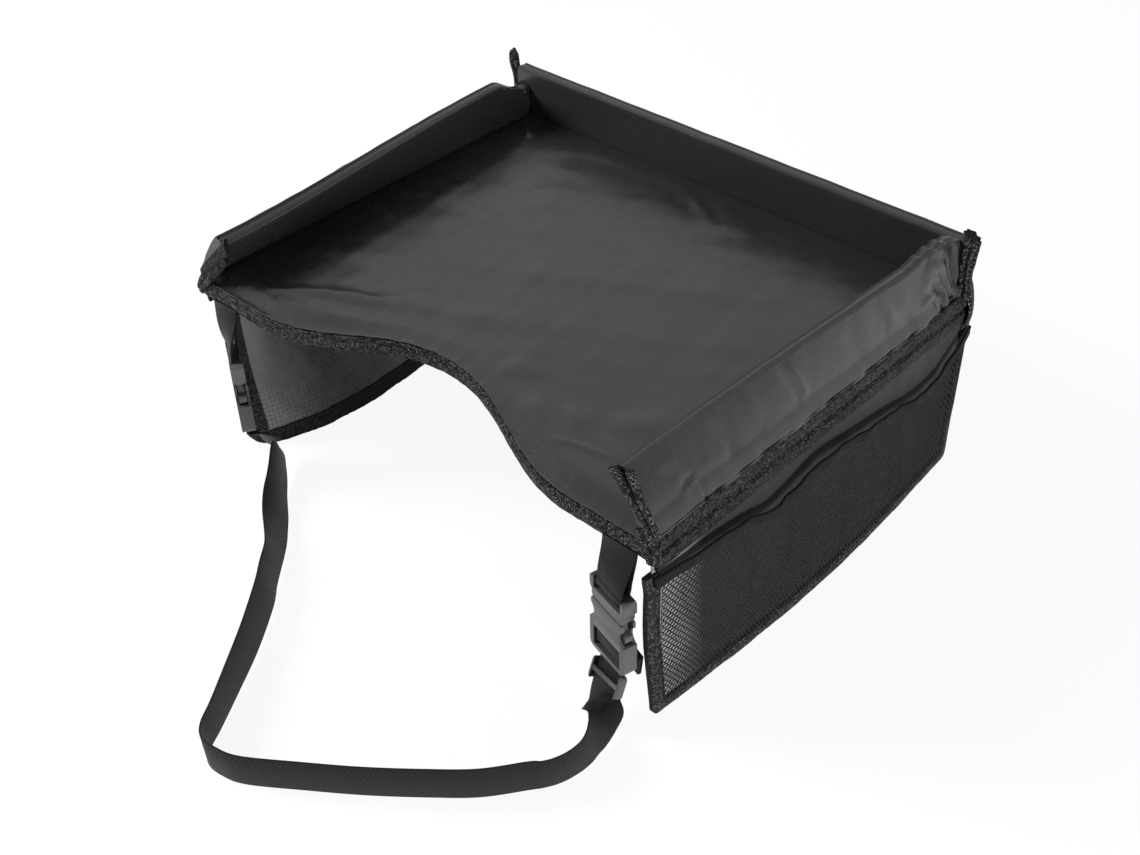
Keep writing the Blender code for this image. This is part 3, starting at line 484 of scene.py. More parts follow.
def smooth(share):
    """Ease from 0 to 1 with level ends, for numbers and arrays."""
    held = np.clip(share, 0, 1)
    return held * held * (3 - 2 * held)


def hump(share):
    """Rise from 0 to 1 and fall back, as the share goes from 0 to 1."""
    return np.sin(np.pi * np.clip(share, 0, 1))


def ripple(place, length, seed):
    """A soft uneven wave between about -1 and 1, whose waves are some length long."""
    total = 0
    for i, (pace, part) in enumerate(((1.0, 0.5), (1.7, 0.3), (2.9, 0.2))):
        total = total + part * np.sin(2 * np.pi * pace * place / length + seed * (2.1 + i * 1.3))
    return total


def unit(vectors):
    """Vectors of length one."""
    vectors = np.asarray(vectors, float)
    return vectors / np.linalg.norm(vectors, axis=-1, keepdims=True)


def lengths_along(points, axis=0):
    """How far each point of a line or grid lies along one of its axes."""
    steps = np.linalg.norm(np.diff(points, axis=axis), axis=-1)
    start = np.zeros_like(np.take(steps, [0], axis))
    return np.concatenate([start, np.cumsum(steps, axis)], axis)


def curve_through(points, count):
    """A smooth line through chosen points, as count points evenly spread along it."""
    points = np.asarray(points, float)
    padded = np.vstack([2 * points[0] - points[1], points, 2 * points[-1] - points[-2]])
    fine = []
    for i in range(len(points) - 1):
        a, b, c, d = padded[i:i + 4]
        for t in np.linspace(0, 1, 24, endpoint=False):
            bend = (2 * a - 5 * b + 4 * c - d) * t * t + (3 * b - a - 3 * c + d) * t ** 3
            fine.append(0.5 * (2 * b + (c - a) * t + bend))
    fine = np.array(fine + [points[-1]])
    run = lengths_along(fine)
    wanted = np.linspace(0, run[-1], count)
    return np.stack([np.interp(wanted, run, fine[:, k]) for k in range(fine.shape[1])], 1)


def build(name, verts, faces, corners, look, angle=SMOOTH_ANGLE):
    """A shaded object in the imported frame, from points, faces and the cloth places of corners."""
    mesh = bpy.data.meshes.new(name)
    mesh.from_pydata((np.asarray(verts, float) + np.array(ORIGIN)).tolist(), [], faces)
    if corners is not None:
        layer = mesh.uv_layers.new(name="weave")
        layer.uv.foreach_set("vector", np.asarray(corners, np.float32).ravel())
    bm = bmesh.new()
    bm.from_mesh(mesh)
    bmesh.ops.recalc_face_normals(bm, faces=bm.faces)
    bm.to_mesh(mesh)
    bm.free()
    mesh.materials.append(looks[look])
    mesh.shade_smooth()
    mesh.set_sharp_from_angle(angle=angle)
    made = bpy.data.objects.new(name, mesh)
    bpy.context.scene.collection.objects.link(made)
    return made


def quilt(name, front, back, look):
    """A closed body between two grids of points, such as the two sides of a cloth."""
    rows, columns = front.shape[:2]
    count = rows * columns
    index = np.arange(count).reshape(rows, columns)
    near = np.stack([index[:-1, :-1], index[1:, :-1], index[1:, 1:], index[:-1, 1:]], -1).reshape(-1, 4)
    rim = np.concatenate([index[0, :], index[1:, -1], index[-1, -2::-1], index[-2:0:-1, 0]])
    ahead = np.roll(rim, -1)
    side = np.stack([rim, ahead, ahead + count, rim + count], -1)
    faces = np.concatenate([near, near[:, ::-1] + count, side])
    place = np.stack([lengths_along(front, 1), lengths_along(front, 0)], -1).reshape(-1, 2)
    place = np.concatenate([place, place])
    verts = np.concatenate([front.reshape(-1, 3), back.reshape(-1, 3)])
    return build(name, verts, faces.tolist(), place[faces.ravel()], look)


def loft(name, rings, look):
    """A closed body through rings of points, with a face at both ends."""
    rings = np.asarray(rings, float)
    count, around = rings.shape[:2]
    i, j = np.meshgrid(np.arange(count - 1), np.arange(around), indexing="ij")
    i, j = i.ravel(), j.ravel()
    k = (j + 1) % around
    faces = np.stack([i * around + j, i * around + k, (i + 1) * around + k, (i + 1) * around + j], -1)
    closed = np.concatenate([rings, rings[:, :1]], 1)
    along = lengths_along(closed, 0).mean(1)
    across = lengths_along(closed, 1).mean(0)
    steps = ((i, j), (i, j + 1), (i + 1, j + 1), (i + 1, j))
    corners = np.stack([np.stack([along[a], across[b]], -1) for a, b in steps], 1).reshape(-1, 2)
    ends = [list(range(around)), list(range((count - 1) * around, count * around))[::-1]]
    capped = np.concatenate([corners, np.zeros((2 * around, 2))])
    return build(name, rings.reshape(-1, 3), faces.tolist() + ends, capped, look)


def sweep(name, places, across, out, section, look):
    """Carry a cross-section, as (across, out) pairs, along places with their directions."""
    places, across, out = np.broadcast_arrays(*(np.asarray(a, float) for a in (places, across, out)))
    section = np.asarray(section, float)
    if section.ndim == 2:
        section = np.repeat(section[None], len(places), 0)
    rings = places[:, None] + across[:, None] * section[..., :1] + out[:, None] * section[..., 1:]
    return loft(name, rings, look)


def bind(name, line, out, width, thickness, base, look="grosgrain_tape", lift=0.0):
    """Tape along a line, facing one way, from a section of size 1 that is scaled on its way."""
    out = np.tile(unit(out), (len(line), 1))
    across = unit(np.cross(unit(np.gradient(line, axis=0)), out))
    scale = np.stack(np.broadcast_arrays(width, thickness), -1)
    places = line + out * np.reshape(lift, (-1, 1))
    return sweep(name, places, across, out, np.array(base)[None] * scale[:, None], look)


def strap_section(width, thickness):
    """The rounded cross-section of flat webbing."""
    half, deep = width / 2, thickness / 2
    edge = deep * 0.9
    return [
        (-half, -deep * 0.4), (-half + edge, -deep), (0, -deep), (half - edge, -deep), (half, -deep * 0.4),
        (half, deep * 0.4), (half - edge, deep), (0, deep), (-half + edge, deep), (-half, deep * 0.4),
    ]


def tape_section(width, thickness, grooves=(), fullness=0.35):
    """Binding tape seen from its end: flat behind, rounded in front, pinched along its stitching."""
    count = 18
    front = []
    for i in range(count + 1):
        share = i / count
        edge = min(share, 1 - share) * 2
        rise = thickness * (1 - fullness * (1 - edge) ** 3)
        for groove, depth in grooves:
            rise -= depth * math.exp(-(((share - groove) * width) / (0.7 * MM)) ** 2)
        front.append((-width / 2 + width * share, rise))
    return [(-width / 2, 0.0)] + front + [(width / 2, 0.0)]


def finish(made, body, slot, *nodes):
    """Let a finished piece follow its body and stand for its nodes. Its slot is not used.

    A cloth that names its lower and upper body and two heights is not attached to a body: its place is
    baked into its mesh.
    """
    if isinstance(body, str):
        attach(made, body)
    else:
        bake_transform(made)
    if nodes:
        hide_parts(*nodes)
    return made


def stitches(name, lines, body):
    """Small raised stitches along lines, each given as its points and the ways out of the cloth."""
    verts, faces = [], []
    for points, outs in lines:
        outs = np.broadcast_to(outs, points.shape)
        run = lengths_along(points)
        for at in np.arange(STITCH_PITCH / 2, run[-1], STITCH_PITCH):
            start, end = (
                np.array([np.interp(at + reach, run, points[:, k]) for k in range(3)])
                for reach in (-STITCH_LENGTH / 2, STITCH_LENGTH / 2)
            )
            out = unit([np.interp(at, run, outs[:, k]) for k in range(3)])
            side = unit(np.cross(unit(end - start + 1e-9), out))
            first = len(verts)
            verts.append(start - out * STITCH_THICKNESS)
            for share in (0.2, 0.8):
                middle = start + (end - start) * share
                for a, b in ((1, 0), (0, 1), (-1, 0), (0, -1)):
                    verts.append(middle + (side * a + out * b) * STITCH_THICKNESS / 2)
            verts.append(end - out * STITCH_THICKNESS)
            for k in range(4):
                n = (k + 1) % 4
                faces.append((first, first + 1 + n, first + 1 + k))
                faces.append((first + 1 + k, first + 1 + n, first + 5 + n, first + 5 + k))
                faces.append((first + 9, first + 5 + k, first + 5 + n))
    made = build(name, verts, faces, None, "sewing_thread", STITCH_ANGLE)
    return finish(made, body, "grosgrain_tape")


def belly(x):
    """How far the front edge is cut back at x, as a share of the belly's depth."""
    return np.cos(np.minimum(np.abs(x) / BELLY_HALF_WIDTH, 1) * np.pi / 2) ** 2


def front_edge(x):
    """The front edge's place along Y at x."""
    return -HALF_DEPTH + BELLY_DEPTH * belly(x)


def edge_top(x):
    """The height of the cover's top at the front edge."""
    share = smooth(belly(x))
    return TRAY_TOP - (LOBE_EDGE_DROP + (MIDDLE_EDGE_DROP - LOBE_EDGE_DROP) * share)


# Folds of the tray's floor: both ends, the height of the fold, its width and its trough's share
FLOOR_FOLDS = (
    ((-0.130, 0.128), (-0.030, 0.135), 0.0016, 0.012, 0.5),
    ((-0.048, 0.142), (0.010, 0.120), 0.0014, 0.006, 0.8),
    ((-0.012, 0.140), (0.030, 0.112), -0.0012, 0.005, 0.4),
    ((0.036, 0.143), (0.090, 0.098), -0.0014, 0.010, 0.3),
    ((0.060, 0.140), (0.125, 0.062), 0.0010, 0.012, 0.4),
    ((-0.085, 0.062), (-0.010, -0.025), -0.0012, 0.016, 0.2),
    ((-0.150, 0.040), (-0.075, -0.060), 0.0008, 0.020, 0.3),
    ((0.064, -0.100), (0.100, -0.128), -0.0016, 0.008, 0.6),
    ((0.028, -0.110), (0.070, -0.092), 0.0014, 0.010, 0.7),
    ((0.083, -0.108), (0.109, -0.123), 0.0012, 0.0035, 0.9),
    ((0.100, -0.140), (0.152, -0.128), 0.0016, 0.0035, 0.9),
    ((0.120, -0.118), (0.165, -0.132), 0.0010, 0.0040, 0.7),
    ((-0.152, -0.152), (-0.095, -0.120), 0.0016, 0.0045, 0.8),
    ((-0.130, -0.138), (-0.070, -0.108), 0.0018, 0.007, 0.8),
    ((-0.105, -0.128), (-0.040, -0.085), 0.0014, 0.010, 0.5),
    ((-0.125, -0.110), (-0.050, -0.060), 0.0010, 0.014, 0.3),
    ((-0.060, -0.100), (0.010, -0.070), 0.0010, 0.012, 0.5),
    ((-0.196, 0.140), (-0.160, 0.118), 0.0022, 0.004, 0.6),
    ((0.140, 0.035), (0.172, -0.060), -0.0010, 0.012, 0.3),
    ((0.150, -0.060), (0.120, -0.110), 0.0010, 0.014, 0.3),
)


def fold_height(x, y, folds):
    """The height that a list of folds gives a cloth at x and y."""
    total = np.zeros_like(x)
    for (x0, y0), (x1, y1), height, width, trough in folds:
        way = np.array([x1 - x0, y1 - y0])
        length = np.hypot(*way)
        way = way / length
        along = ((x - x0) * way[0] + (y - y0) * way[1]) / length
        aside = -(x - x0) * way[1] + (y - y0) * way[0]
        aside = aside - 0.06 * length * np.sin(np.pi * np.clip(along, 0, 1))
        taper = np.clip(1 - np.abs(2 * along - 1) ** 2.5, 0, 1)
        near = aside / width
        valley = trough * np.exp(-((near + 1.5) ** 2))
        total = total + height * taper * (np.exp(-near * near) - valley)
    return total


def floor_height(x, y, slack):
    """The height of the tray's floor cloth: its slack, its folds and the pull of its seams."""
    wave = (
        ripple(x * 0.8 + y * 0.6, 0.115, 1.3) + ripple(x * 0.5 - y * 0.9, 0.085, 4.1)
        + 0.5 * ripple(x * 0.9 + y * 0.1, 0.045, 2.2)
    )
    aside, behind, ahead = SIDE_HINGE - np.abs(x), BACK_HINGE - y, y - front_edge(x)
    folds = fold_height(x, y, FLOOR_FOLDS) * smooth(ahead / 0.008)
    height = smooth(aside / 0.020) * smooth(behind / 0.020) * (slack * wave * smooth(ahead / 0.030) + folds)
    height = np.logaddexp(0, (height + 0.0002) / 0.0004) * 0.0004 - 0.0003
    seam = np.exp(-((aside / 0.0035) ** 2)) + np.exp(-((behind / 0.0035) ** 2))
    puckers = 0.00035 * ripple(x, 0.017, 3.0) * np.exp(-(ahead / 0.012))
    return height - 0.0003 * np.minimum(seam, 1) + puckers


def edge_drop(x, y):
    """How far the cover drops towards its front edge."""
    run = smooth((y - front_edge(x)) / EDGE_DROP_RUN)
    return (TRAY_TOP - edge_top(x)) * (1 - run)


class TrayFloorOperator(bpy.types.Operator):
    """Add the nylon floor of the tray and the lining under it."""

    bl_idname = "tray_table.floor"
    bl_label = "Tray floor"

    def execute(self, context):
        half, back = HALF_WIDTH - CLOTH_INSET, HALF_DEPTH - CLOTH_INSET
        columns, rows = FLOOR_GRID
        u, v = np.meshgrid(np.linspace(-half, half, columns), np.linspace(0, 1, rows) ** 1.35)
        front = front_edge(u)
        y = front + (back - front) * v
        z = TRAY_TOP - edge_drop(u, y) + floor_height(u, y, context.scene.tray_sizes.slack)
        top = np.stack([u, y, z], -1)
        floor = quilt("tray_floor_cloth", top, top - [0, 0, CLOTH * 0.6], "coated_nylon")
        finish(floor, "tray", "nylon_cover", "tray_top_cover")
        low, high = (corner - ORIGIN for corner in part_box("tray_underside_cover"))
        columns, rows = LINING_GRID
        u, v = np.meshgrid(np.linspace(low.x, high.x, columns), np.linspace(0, 1, rows))
        front = front_edge(u) + LINING_INSET
        y = front + (high.y - front) * v
        tuck = (1 - smooth((y - front) / LINING_TUCK_RUN)) * (edge_top(u) - LINING_TUCK - high.z)
        uneven = 0.6 + 0.4 * ripple(u + y, 0.09, 2.0)
        sag = LINING_SAG * hump((y - front) / (high.y - front)) * uneven
        under = np.stack([u, y, high.z - CLOTH + np.minimum(tuck, 0) - sag], -1)
        lining = quilt("tray_lining", under + [0, 0, CLOTH], under, "nylon_lining")
        finish(lining, "tray", "nylon_underside", "tray_underside_cover")
        return {"FINISHED"}


# The seams along a wall's top, in millimetres: out from the inner face, and over the wall's height
WALL_TOP_SEAMS = (
    (0.1, -1.0), (0.4, -0.2), (1.1, 0.35), (1.8, 0.0), (2.3, -0.45), (3.0, -0.1), (5.0, 0.15),
    (6.7, -0.1), (7.3, -0.75), (7.9, -0.75), (8.5, -0.1), (9.1, 0.245), (9.7, -0.2),
)


def wall_outline(height):
    """A wall's cloth from its foot up its inner face, over its top and down its outer face.

    Each point is (out from the hinge, up), with a third number: 0 for the inner face and the
    top, 1 for the outer face. Two raised seams run along the top, each with a groove beside it.
    """
    outline = [(0.0, share * (height - 2 * MM), 0) for share in np.linspace(0, 1, 9)]
    outline += [(out * MM, height + rise * MM, 0) for out, rise in WALL_TOP_SEAMS]
    outline.append((WALL_THICKNESS, height - 1.0 * MM, 1))
    outline += [(WALL_THICKNESS, share * height, 1) for share in np.linspace(0.94, 0.06, 16)]
    return np.array(outline)


def wall_rings(along, lean, height, skirt, hinge_side, relief, inner_relief=None):
    """Rings of a wall's cloth with its skirt: out and up from the hinge line at each station.

    skirt is how far the tray's edge lies outside the hinge line. relief gives how far the
    outer face stands out at a station and a height, and inner_relief the inner face.
    """
    down = TRAY_TOP - RIM_TOP
    rings = []
    for place, tilt, tall in zip(along, lean, height):
        out, up, outer = wall_outline(tall).T
        inner = (out == 0) & (outer == 0)
        press = inner_relief(place, up) if inner_relief else 0.0004 * hump(up / tall)
        swell = np.where(outer > 0, relief(place, up) * smooth(up / 0.009), 0)
        out = out + swell - np.where(inner, press, 0)
        x = out * math.cos(tilt) - up * math.sin(tilt)
        z = out * math.sin(tilt) + up * math.cos(tilt)
        foot = skirt + np.minimum(relief(place, np.array([-0.002, -0.007, -0.012])), FOOT_RELIEF_LIMIT)
        tail = np.array([
            (foot[0] - 0.3 * MM, -0.5 * MM), (foot[0], -2.5 * MM), (foot[1] + 0.5 * MM, -down / 2),
            (foot[2], -down + 1.5 * MM), (skirt, -down), (skirt - 1.6 * MM, -down),
            (skirt - 1.6 * MM, -down / 2), (skirt - 2.0 * MM, -0.3 * MM), (skirt / 2, -0.2 * MM),
        ])
        x, z = np.concatenate([x, tail[:, 0]]), np.concatenate([z, tail[:, 1]]) + WALL_FOOT
        rings.append(np.stack([x, np.full_like(x, place), z], -1))
    rings = np.array(rings)
    if hinge_side:
        rings[..., 0] = hinge_side * (SIDE_HINGE + rings[..., 0])
        return rings
    return np.stack([rings[..., 1], BACK_HINGE + rings[..., 0], rings[..., 2]], -1)


def side_lean(side, y):
    """How far a side wall leans inwards at y."""
    front, back = SIDE_LEANS[side]
    return front + (back - front) * smooth((y + HALF_DEPTH) / TRAY_DEPTH)


def dent(y, up, at, reach, turn, depth):
    """A small pressed crease in a wall: a slanting trough with a ridge along one side."""
    along = (y - at[0]) * math.cos(turn) + (up - at[1]) * math.sin(turn)
    aside = -(y - at[0]) * math.sin(turn) + (up - at[1]) * math.cos(turn)
    near = aside / reach[1]
    return depth * np.exp(-((along / reach[0]) ** 2)) * near * np.exp(0.5 - near * near / 2)


# Folds of the right wall's outer cloth, as places along Y and up from the hinge
RIGHT_WALL_FOLDS = (
    ((-0.030, 0.033), (-0.018, 0.002), 0.0011, 0.0035, 0.9),
    ((-0.098, 0.030), (-0.082, -0.010), -0.0010, 0.0060, 0.2),
    ((-0.068, 0.034), (-0.060, 0.008), 0.0006, 0.0045, 0.5),
    ((0.022, 0.026), (0.044, -0.008), -0.0009, 0.0075, 0.2),
    ((0.060, 0.034), (0.074, 0.008), 0.0009, 0.0045, 0.5),
    ((0.080, 0.016), (0.096, -0.008), -0.0010, 0.0055, 0.2),
    ((-0.146, 0.026), (-0.128, 0.022), 0.0004, 0.0040, 0.3),
    ((-0.060, 0.004), (-0.030, -0.008), 0.0006, 0.0040, 0.5),
    ((-0.112, 0.012), (-0.094, -0.006), 0.0006, 0.0050, 0.4),
)


def right_relief(y, up):
    """Soft upright waves of the right wall's outer cloth, and the small creases near its front."""
    lower = 1 - smooth(up / WALL_HEIGHT)
    wave = ripple(y + 0.35 * up, 0.061, 5.0) + 0.5 * ripple(y - 0.2 * up, 0.037, 1.0)
    wave = 0.0005 * wave * (0.3 + 0.7 * lower)
    bulge = 0.0008 * hump((up + 0.002) / (WALL_HEIGHT + 0.002))
    tick = dent(y, up, (-0.1265, 0.0060), (0.0060, 0.0014), math.radians(14), -0.0014)
    pale = dent(y, up, (-0.1190, -0.0010), (0.0060, 0.0012), math.radians(-72), -0.0012)
    held = hump((up + RELIEF_FOOT) / (WALL_HEIGHT + RELIEF_FOOT)) ** 0.5
    return bulge + wave + tick + pale + held * fold_height(y + 0 * up, up, RIGHT_WALL_FOLDS)


def soft_relief(bulge, wave, length, seed, slant):
    """The relief of a quiet wall: a bulge and soft slanting waves."""
    def relief(place, up):
        swell = hump((up + RELIEF_FOOT) / (WALL_HEIGHT + RELIEF_FOOT))
        return bulge * swell + wave * ripple(place + slant * up, length, seed)
    return relief


left_relief = soft_relief(0.0008, 0.0005, 0.07, 1.0, 1)
back_relief = soft_relief(0.0007, 0.0004, 0.09, 3.0, -1)


def right_folds(y, up):
    """The right corner's fan of sharp folds, which runs together at the corner's foot."""
    into = smooth((y - BOARD_END[1]) / 0.018)
    away_y, away_up = (BACK_HINGE + 0.004) - y, up + 0.008
    radius = np.hypot(away_y, away_up)
    turn = np.arctan2(away_up, np.maximum(away_y, 1e-5)) + 0.10 * np.sin(radius / 0.008)
    broad = 1 - np.abs(np.sin(turn * 5.2 + 0.4)) ** 0.6
    fine = 1 - np.abs(np.sin(turn * 12.5 + 0.7)) ** 0.7
    fold = (-0.0034 * broad - 0.0022 * fine) * smooth(radius / 0.014)
    fold = fold * (1 - smooth((radius - 0.036) / 0.026)) + 0.0022 * hump((radius - 0.030) / 0.030)
    return right_relief(y, up) + into * fold


class WallsOperator(bpy.types.Operator):
    """Add the padded cloth of the three fold-down walls, down to the rim seam."""

    bl_idname = "tray_table.walls"
    bl_label = "Walls"

    def execute(self, context):
        for side, name in SIDES:
            along = np.linspace(-HALF_DEPTH + 0.0004, BOARD_END[side], SIDE_WALL_STATIONS)
            tall = WALL_HEIGHT + 0.0002 * ripple(along, 0.05, 2.0 + side)
            relief = right_relief if side > 0 else left_relief
            lean = side_lean(side, along)
            self.wall(name, wall_rings(along, lean, tall, SIDE_SKIRT, side, relief))
        reach = HALF_WIDTH - 0.0028
        across = np.linspace(-reach, reach, BACK_WALL_STATIONS)
        tall = WALL_HEIGHT + 0.0002 * ripple(across, 0.07, 6.0)
        lean = np.full_like(across, BACK_LEAN)
        self.wall("back", wall_rings(across, lean, tall, HALF_DEPTH - BACK_HINGE, 0, back_relief))
        self.corners()
        return {"FINISHED"}

    def wall(self, name, rings):
        """One wall's cloth, which bends at its foot."""
        wall = loft(f"{name}_wall_cloth", rings, "coated_nylon")
        body = ("tray", f"{name}_wall", FOLD_LOW, FOLD_HIGH)
        finish(wall, body, "nylon_cover", f"{name}_wall_cover", f"{name}_edge_cover")

    def corners(self):
        """The soft cloth between each side wall and the back wall."""
        last = BACK_HINGE - 0.0018
        for side, name in SIDES:
            start = BOARD_END[side]
            along = np.linspace(start, last, CORNER_STATIONS)
            share = (along - start) / (last - start)
            if side > 0:
                peaks = np.abs(((share * 4.3) % 1) * 2 - 1) - 0.5
                tall = WALL_HEIGHT + 0.0030 * hump(share * 0.9) + 0.0022 * peaks * hump(share)
                relief = right_folds
            else:
                sunk = 0.013 * smooth((share - 0.1) / 0.75)
                tall = WALL_HEIGHT - sunk + 0.0015 * hump((share - 0.85) / 0.3)
                relief = left_relief

            def inner(y, up):
                """Loose folds on the corner's inner face."""
                depth = 0.0015 * smooth((y - start) / 0.02)
                return 0.0004 + depth * ripple(y + 0.5 * up, 0.016, 2.0)

            lean = side_lean(side, along)
            rings = wall_rings(along, lean, tall, SIDE_SKIRT, side, relief, inner)
            corner = loft(f"{name}_corner_cloth", rings, "coated_nylon")
            finish(corner, "tray", "nylon_cover", f"{name}_corner_gusset")
            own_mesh(corner)


# The flaps at the side walls' front ends, as places out and up, and their widths at both ends
FLAP_ROUTES = {
    1: (((0.1735, 0.1808), (0.1800, 0.1725), (0.1905, 0.1598), (0.1985, 0.1487)),
        ((0.1842, 0.1838), (0.1910, 0.1695), (0.1988, 0.1577), (0.2050, 0.1480))),
    -1: (((0.1660, 0.1700), (0.1720, 0.1640), (0.1800, 0.1560), (0.1900, 0.1480)),
         ((0.1620, 0.1810), (0.1710, 0.1720), (0.1840, 0.1600), (0.1975, 0.1470))),
}
FLAP_WIDTHS = {1: ((0.0088, 0.0054), (0.0052, 0.0030)), -1: ((0.0050, 0.0080), (0.0110, 0.0072))}
# The sewn ends of the front tapes, in the same way
TACK_ROUTES = {
    1: ((0.1935, 0.1490), (0.1975, 0.1425), (0.2010, 0.1360), (0.2025, 0.1275)),
    -1: ((0.1900, 0.1480), (0.1960, 0.1420), (0.2010, 0.1365), (0.2050, 0.1305)),
}
# The tape ends at the back corners: out from the tray's side, on from its back, and the height
BACK_END_ROUTE = (
    (-0.0026, -0.0050, 0.1560), (-0.0002, -0.0038, 0.1480), (0.0012, -0.0026, 0.1380),
    (0.0022, -0.0034, 0.1290), (0.0012, -0.0040, 0.1205),
)
# The leaf at the back left corner: its place along X, on from the wall's middle, and its height
LEAF_ROUTE = (
    (-0.2010, -0.004, 0.1500), (-0.2015, -0.004, 0.1620), (-0.2030, -0.003, 0.1725),
    (-0.2062, -0.001, 0.1785), (-0.2088, 0.0, 0.1840), (-0.2092, 0.0, 0.1900),
    (-0.2072, -0.001, 0.1962),
)


def lines_beside(places, across, out, section_shares, width, lift):
    """Stitch lines along a tape, at shares of its width."""
    return [
        (places + across * (share - 0.5) * width + out * lift, out) for share in section_shares
    ]


class TapesOperator(bpy.types.Operator):
    """Add the grosgrain tapes round the tray's edges and their stitching."""

    bl_idname = "tray_table.tapes"
    bl_label = "Tapes"

    def execute(self, context):
        self.front_tape()
        self.rim_tapes()
        self.wall_ends()
        self.back_fins()
        self.tacks()
        return {"FINISHED"}

    def front_tape(self):
        """The tape folded over the front edge, round the belly cut-out."""
        x = np.linspace(-HALF_WIDTH + 0.0002, HALF_WIDTH - 0.0002, FRONT_TAPE_STATIONS)
        y = front_edge(x) + 0.0002 * ripple(x, 0.03, 1.0)
        high = edge_top(x) - CLOTH - 0.0006
        tangent = unit(np.stack([np.ones_like(x), np.gradient(y, x), np.gradient(high, x)], -1))
        out = unit(np.cross(tangent, UP))
        section = np.array(tape_section(FRONT_TAPE_WIDTH, FRONT_TAPE_THICKNESS, FRONT_TAPE_GROOVES))
        section = section - [0, FRONT_TAPE_SET_BACK]
        middle = np.stack([x, y, high - FRONT_TAPE_WIDTH / 2 + 0.0002 * ripple(x, 0.012, 2.0)], -1)
        tape = sweep("front_edge_tape", middle, UP, out, section, "grosgrain_tape")
        finish(tape, "tray", "grosgrain_tape", "front_edge_binding")
        lines = lines_beside(
            middle, UP, out, FRONT_STITCH_SHARES, FRONT_TAPE_WIDTH, FRONT_TAPE_SET_BACK,
        )
        stitches("front_edge_stitches", lines, "tray")

    def rim_tapes(self):
        """The doubled tape over the seam of the tray's sides and back."""
        tall = RIM_TAPE_WIDTH
        section = tape_section(tall, RIM_TAPE_THICKNESS, RIM_TAPE_GROOVES)
        strips = []
        for side, name in SIDES:
            y = np.linspace(-HALF_DEPTH + 0.0014, HALF_DEPTH, LONG_TAPE_STATIONS)
            x = side * (HALF_WIDTH - 0.0018 + 0.0003 * ripple(y, 0.034, 2.0 * side))
            z = RIM_BOTTOM + tall / 2 + 0.0003 * ripple(y, 0.06, 1.0)
            # The side rims take the grosgrain painted darker, as painted shade.
            strips.append((name, np.stack([x, y, z], -1), np.array([side, 0.0, 0.0]), "grosgrain_painted_shade"))
        x = np.linspace(-HALF_WIDTH + 0.0024, HALF_WIDTH - 0.0024, LONG_TAPE_STATIONS)
        y = HALF_DEPTH - 0.0030 + 0.0002 * ripple(x, 0.05, 2.0)
        middle = np.stack([x, y, np.full_like(x, RIM_BOTTOM + tall / 2)], -1)
        strips.append(("back", middle, np.array([0.0, 1.0, 0.0]), "grosgrain_tape"))
        lines = []
        for name, middle, out, look in strips:
            tape = sweep(f"{name}_rim_tape", middle, UP, out, section, look)
            finish(tape, "tray", "grosgrain_tape", f"{name}_rim_binding")
            lines += lines_beside(middle, UP, out, RIM_STITCH_SHARES, tall, RIM_STITCH_LIFT)
        stitches("rim_stitches", lines, "tray")

    def wall_ends(self):
        """The tape folded over the front end of each side wall, with its two flaps."""
        base = tape_section(1.0, 1.0, (), 0.5)
        share = np.linspace(0, 1, FLAP_STATIONS)
        thick = FLAP_THICKNESS * (1 + 0.12 * ripple(share, 0.3, 2.0))
        lift = 0.0002 * ripple(share, 0.4, 3.0)
        for side, name in SIDES:
            # The left wall's end takes the grosgrain painted darker, as painted shade.
            look = "grosgrain_tape" if side > 0 else "grosgrain_painted_shade"
            ways = ((0, -1, 0), (side * 0.5, -1, 0.1))
            nodes = ((f"{name}_wall_front_binding",), ())
            for label, way, node, route, (wide, narrow) in zip(
                ("inner", "outer"), ways, nodes, FLAP_ROUTES[side], FLAP_WIDTHS[side],
            ):
                line = curve_through([(side * out, WALL_FRONT, up) for out, up in route], len(share))
                width = wide + (narrow - wide) * share
                flap = bind(f"{name}_wall_end_{label}_flap", line, way, width, thick, base, look, lift)
                finish(flap, f"{name}_wall", "grosgrain_tape", *node)

    def back_fins(self):
        """The tape that stands out at the two back corners: a curled leaf and a rolled flap."""
        middle = BACK_HINGE + WALL_THICKNESS / 2
        line = curve_through([(x, middle + y, z) for x, y, z in LEAF_ROUTE], LEAF_STATIONS)
        share = np.linspace(0, 1, LEAF_STATIONS)
        width = 0.0068 + 0.0016 * hump((share - 0.5) / 0.5) - 0.0048 * smooth((share - 0.88) / 0.12)
        thick = 0.0032 - 0.0014 * smooth((share - 0.7) / 0.3)
        base = np.array(tape_section(1.0, 1.0, (), 0.6))
        base[:, 1] -= 0.35 * np.exp(-((base[:, 0] / 0.10) ** 2)) * (base[:, 1] > 0.5)
        leaf = bind("back_left_tape_leaf", line, (0.35, -0.94, 0.0), width, thick, base)
        finish(leaf, "back_wall", "grosgrain_tape", "back_left_corner_binding")
        stations, around = ROLL_GRID
        z = np.linspace(0.1405, 0.1888, stations)[:, None]
        share = (z - z[0]) / (z[-1] - z[0])
        centre = 0.2016 - 0.0012 * hump(share) + 0.0003 * ripple(z, 0.03, 1.0)
        angle = np.linspace(0, 2 * np.pi, around, endpoint=False)
        lobes = 1 + 0.17 * np.cos(7 * angle + 0.5 * share) + 0.08 * np.cos(3 * angle)
        radius = (0.0040 + 0.0016 * share) * lobes
        x = centre + radius * np.cos(angle)
        y = middle - 0.0026 + 0.75 * radius * np.sin(angle)
        roll = loft(
            "back_right_tape_roll", np.stack([x, y, z - 0.0022 * share * np.cos(angle)], -1),
            "grosgrain_tape",
        )
        finish(roll, "back_wall", "grosgrain_tape", "back_right_corner_binding")

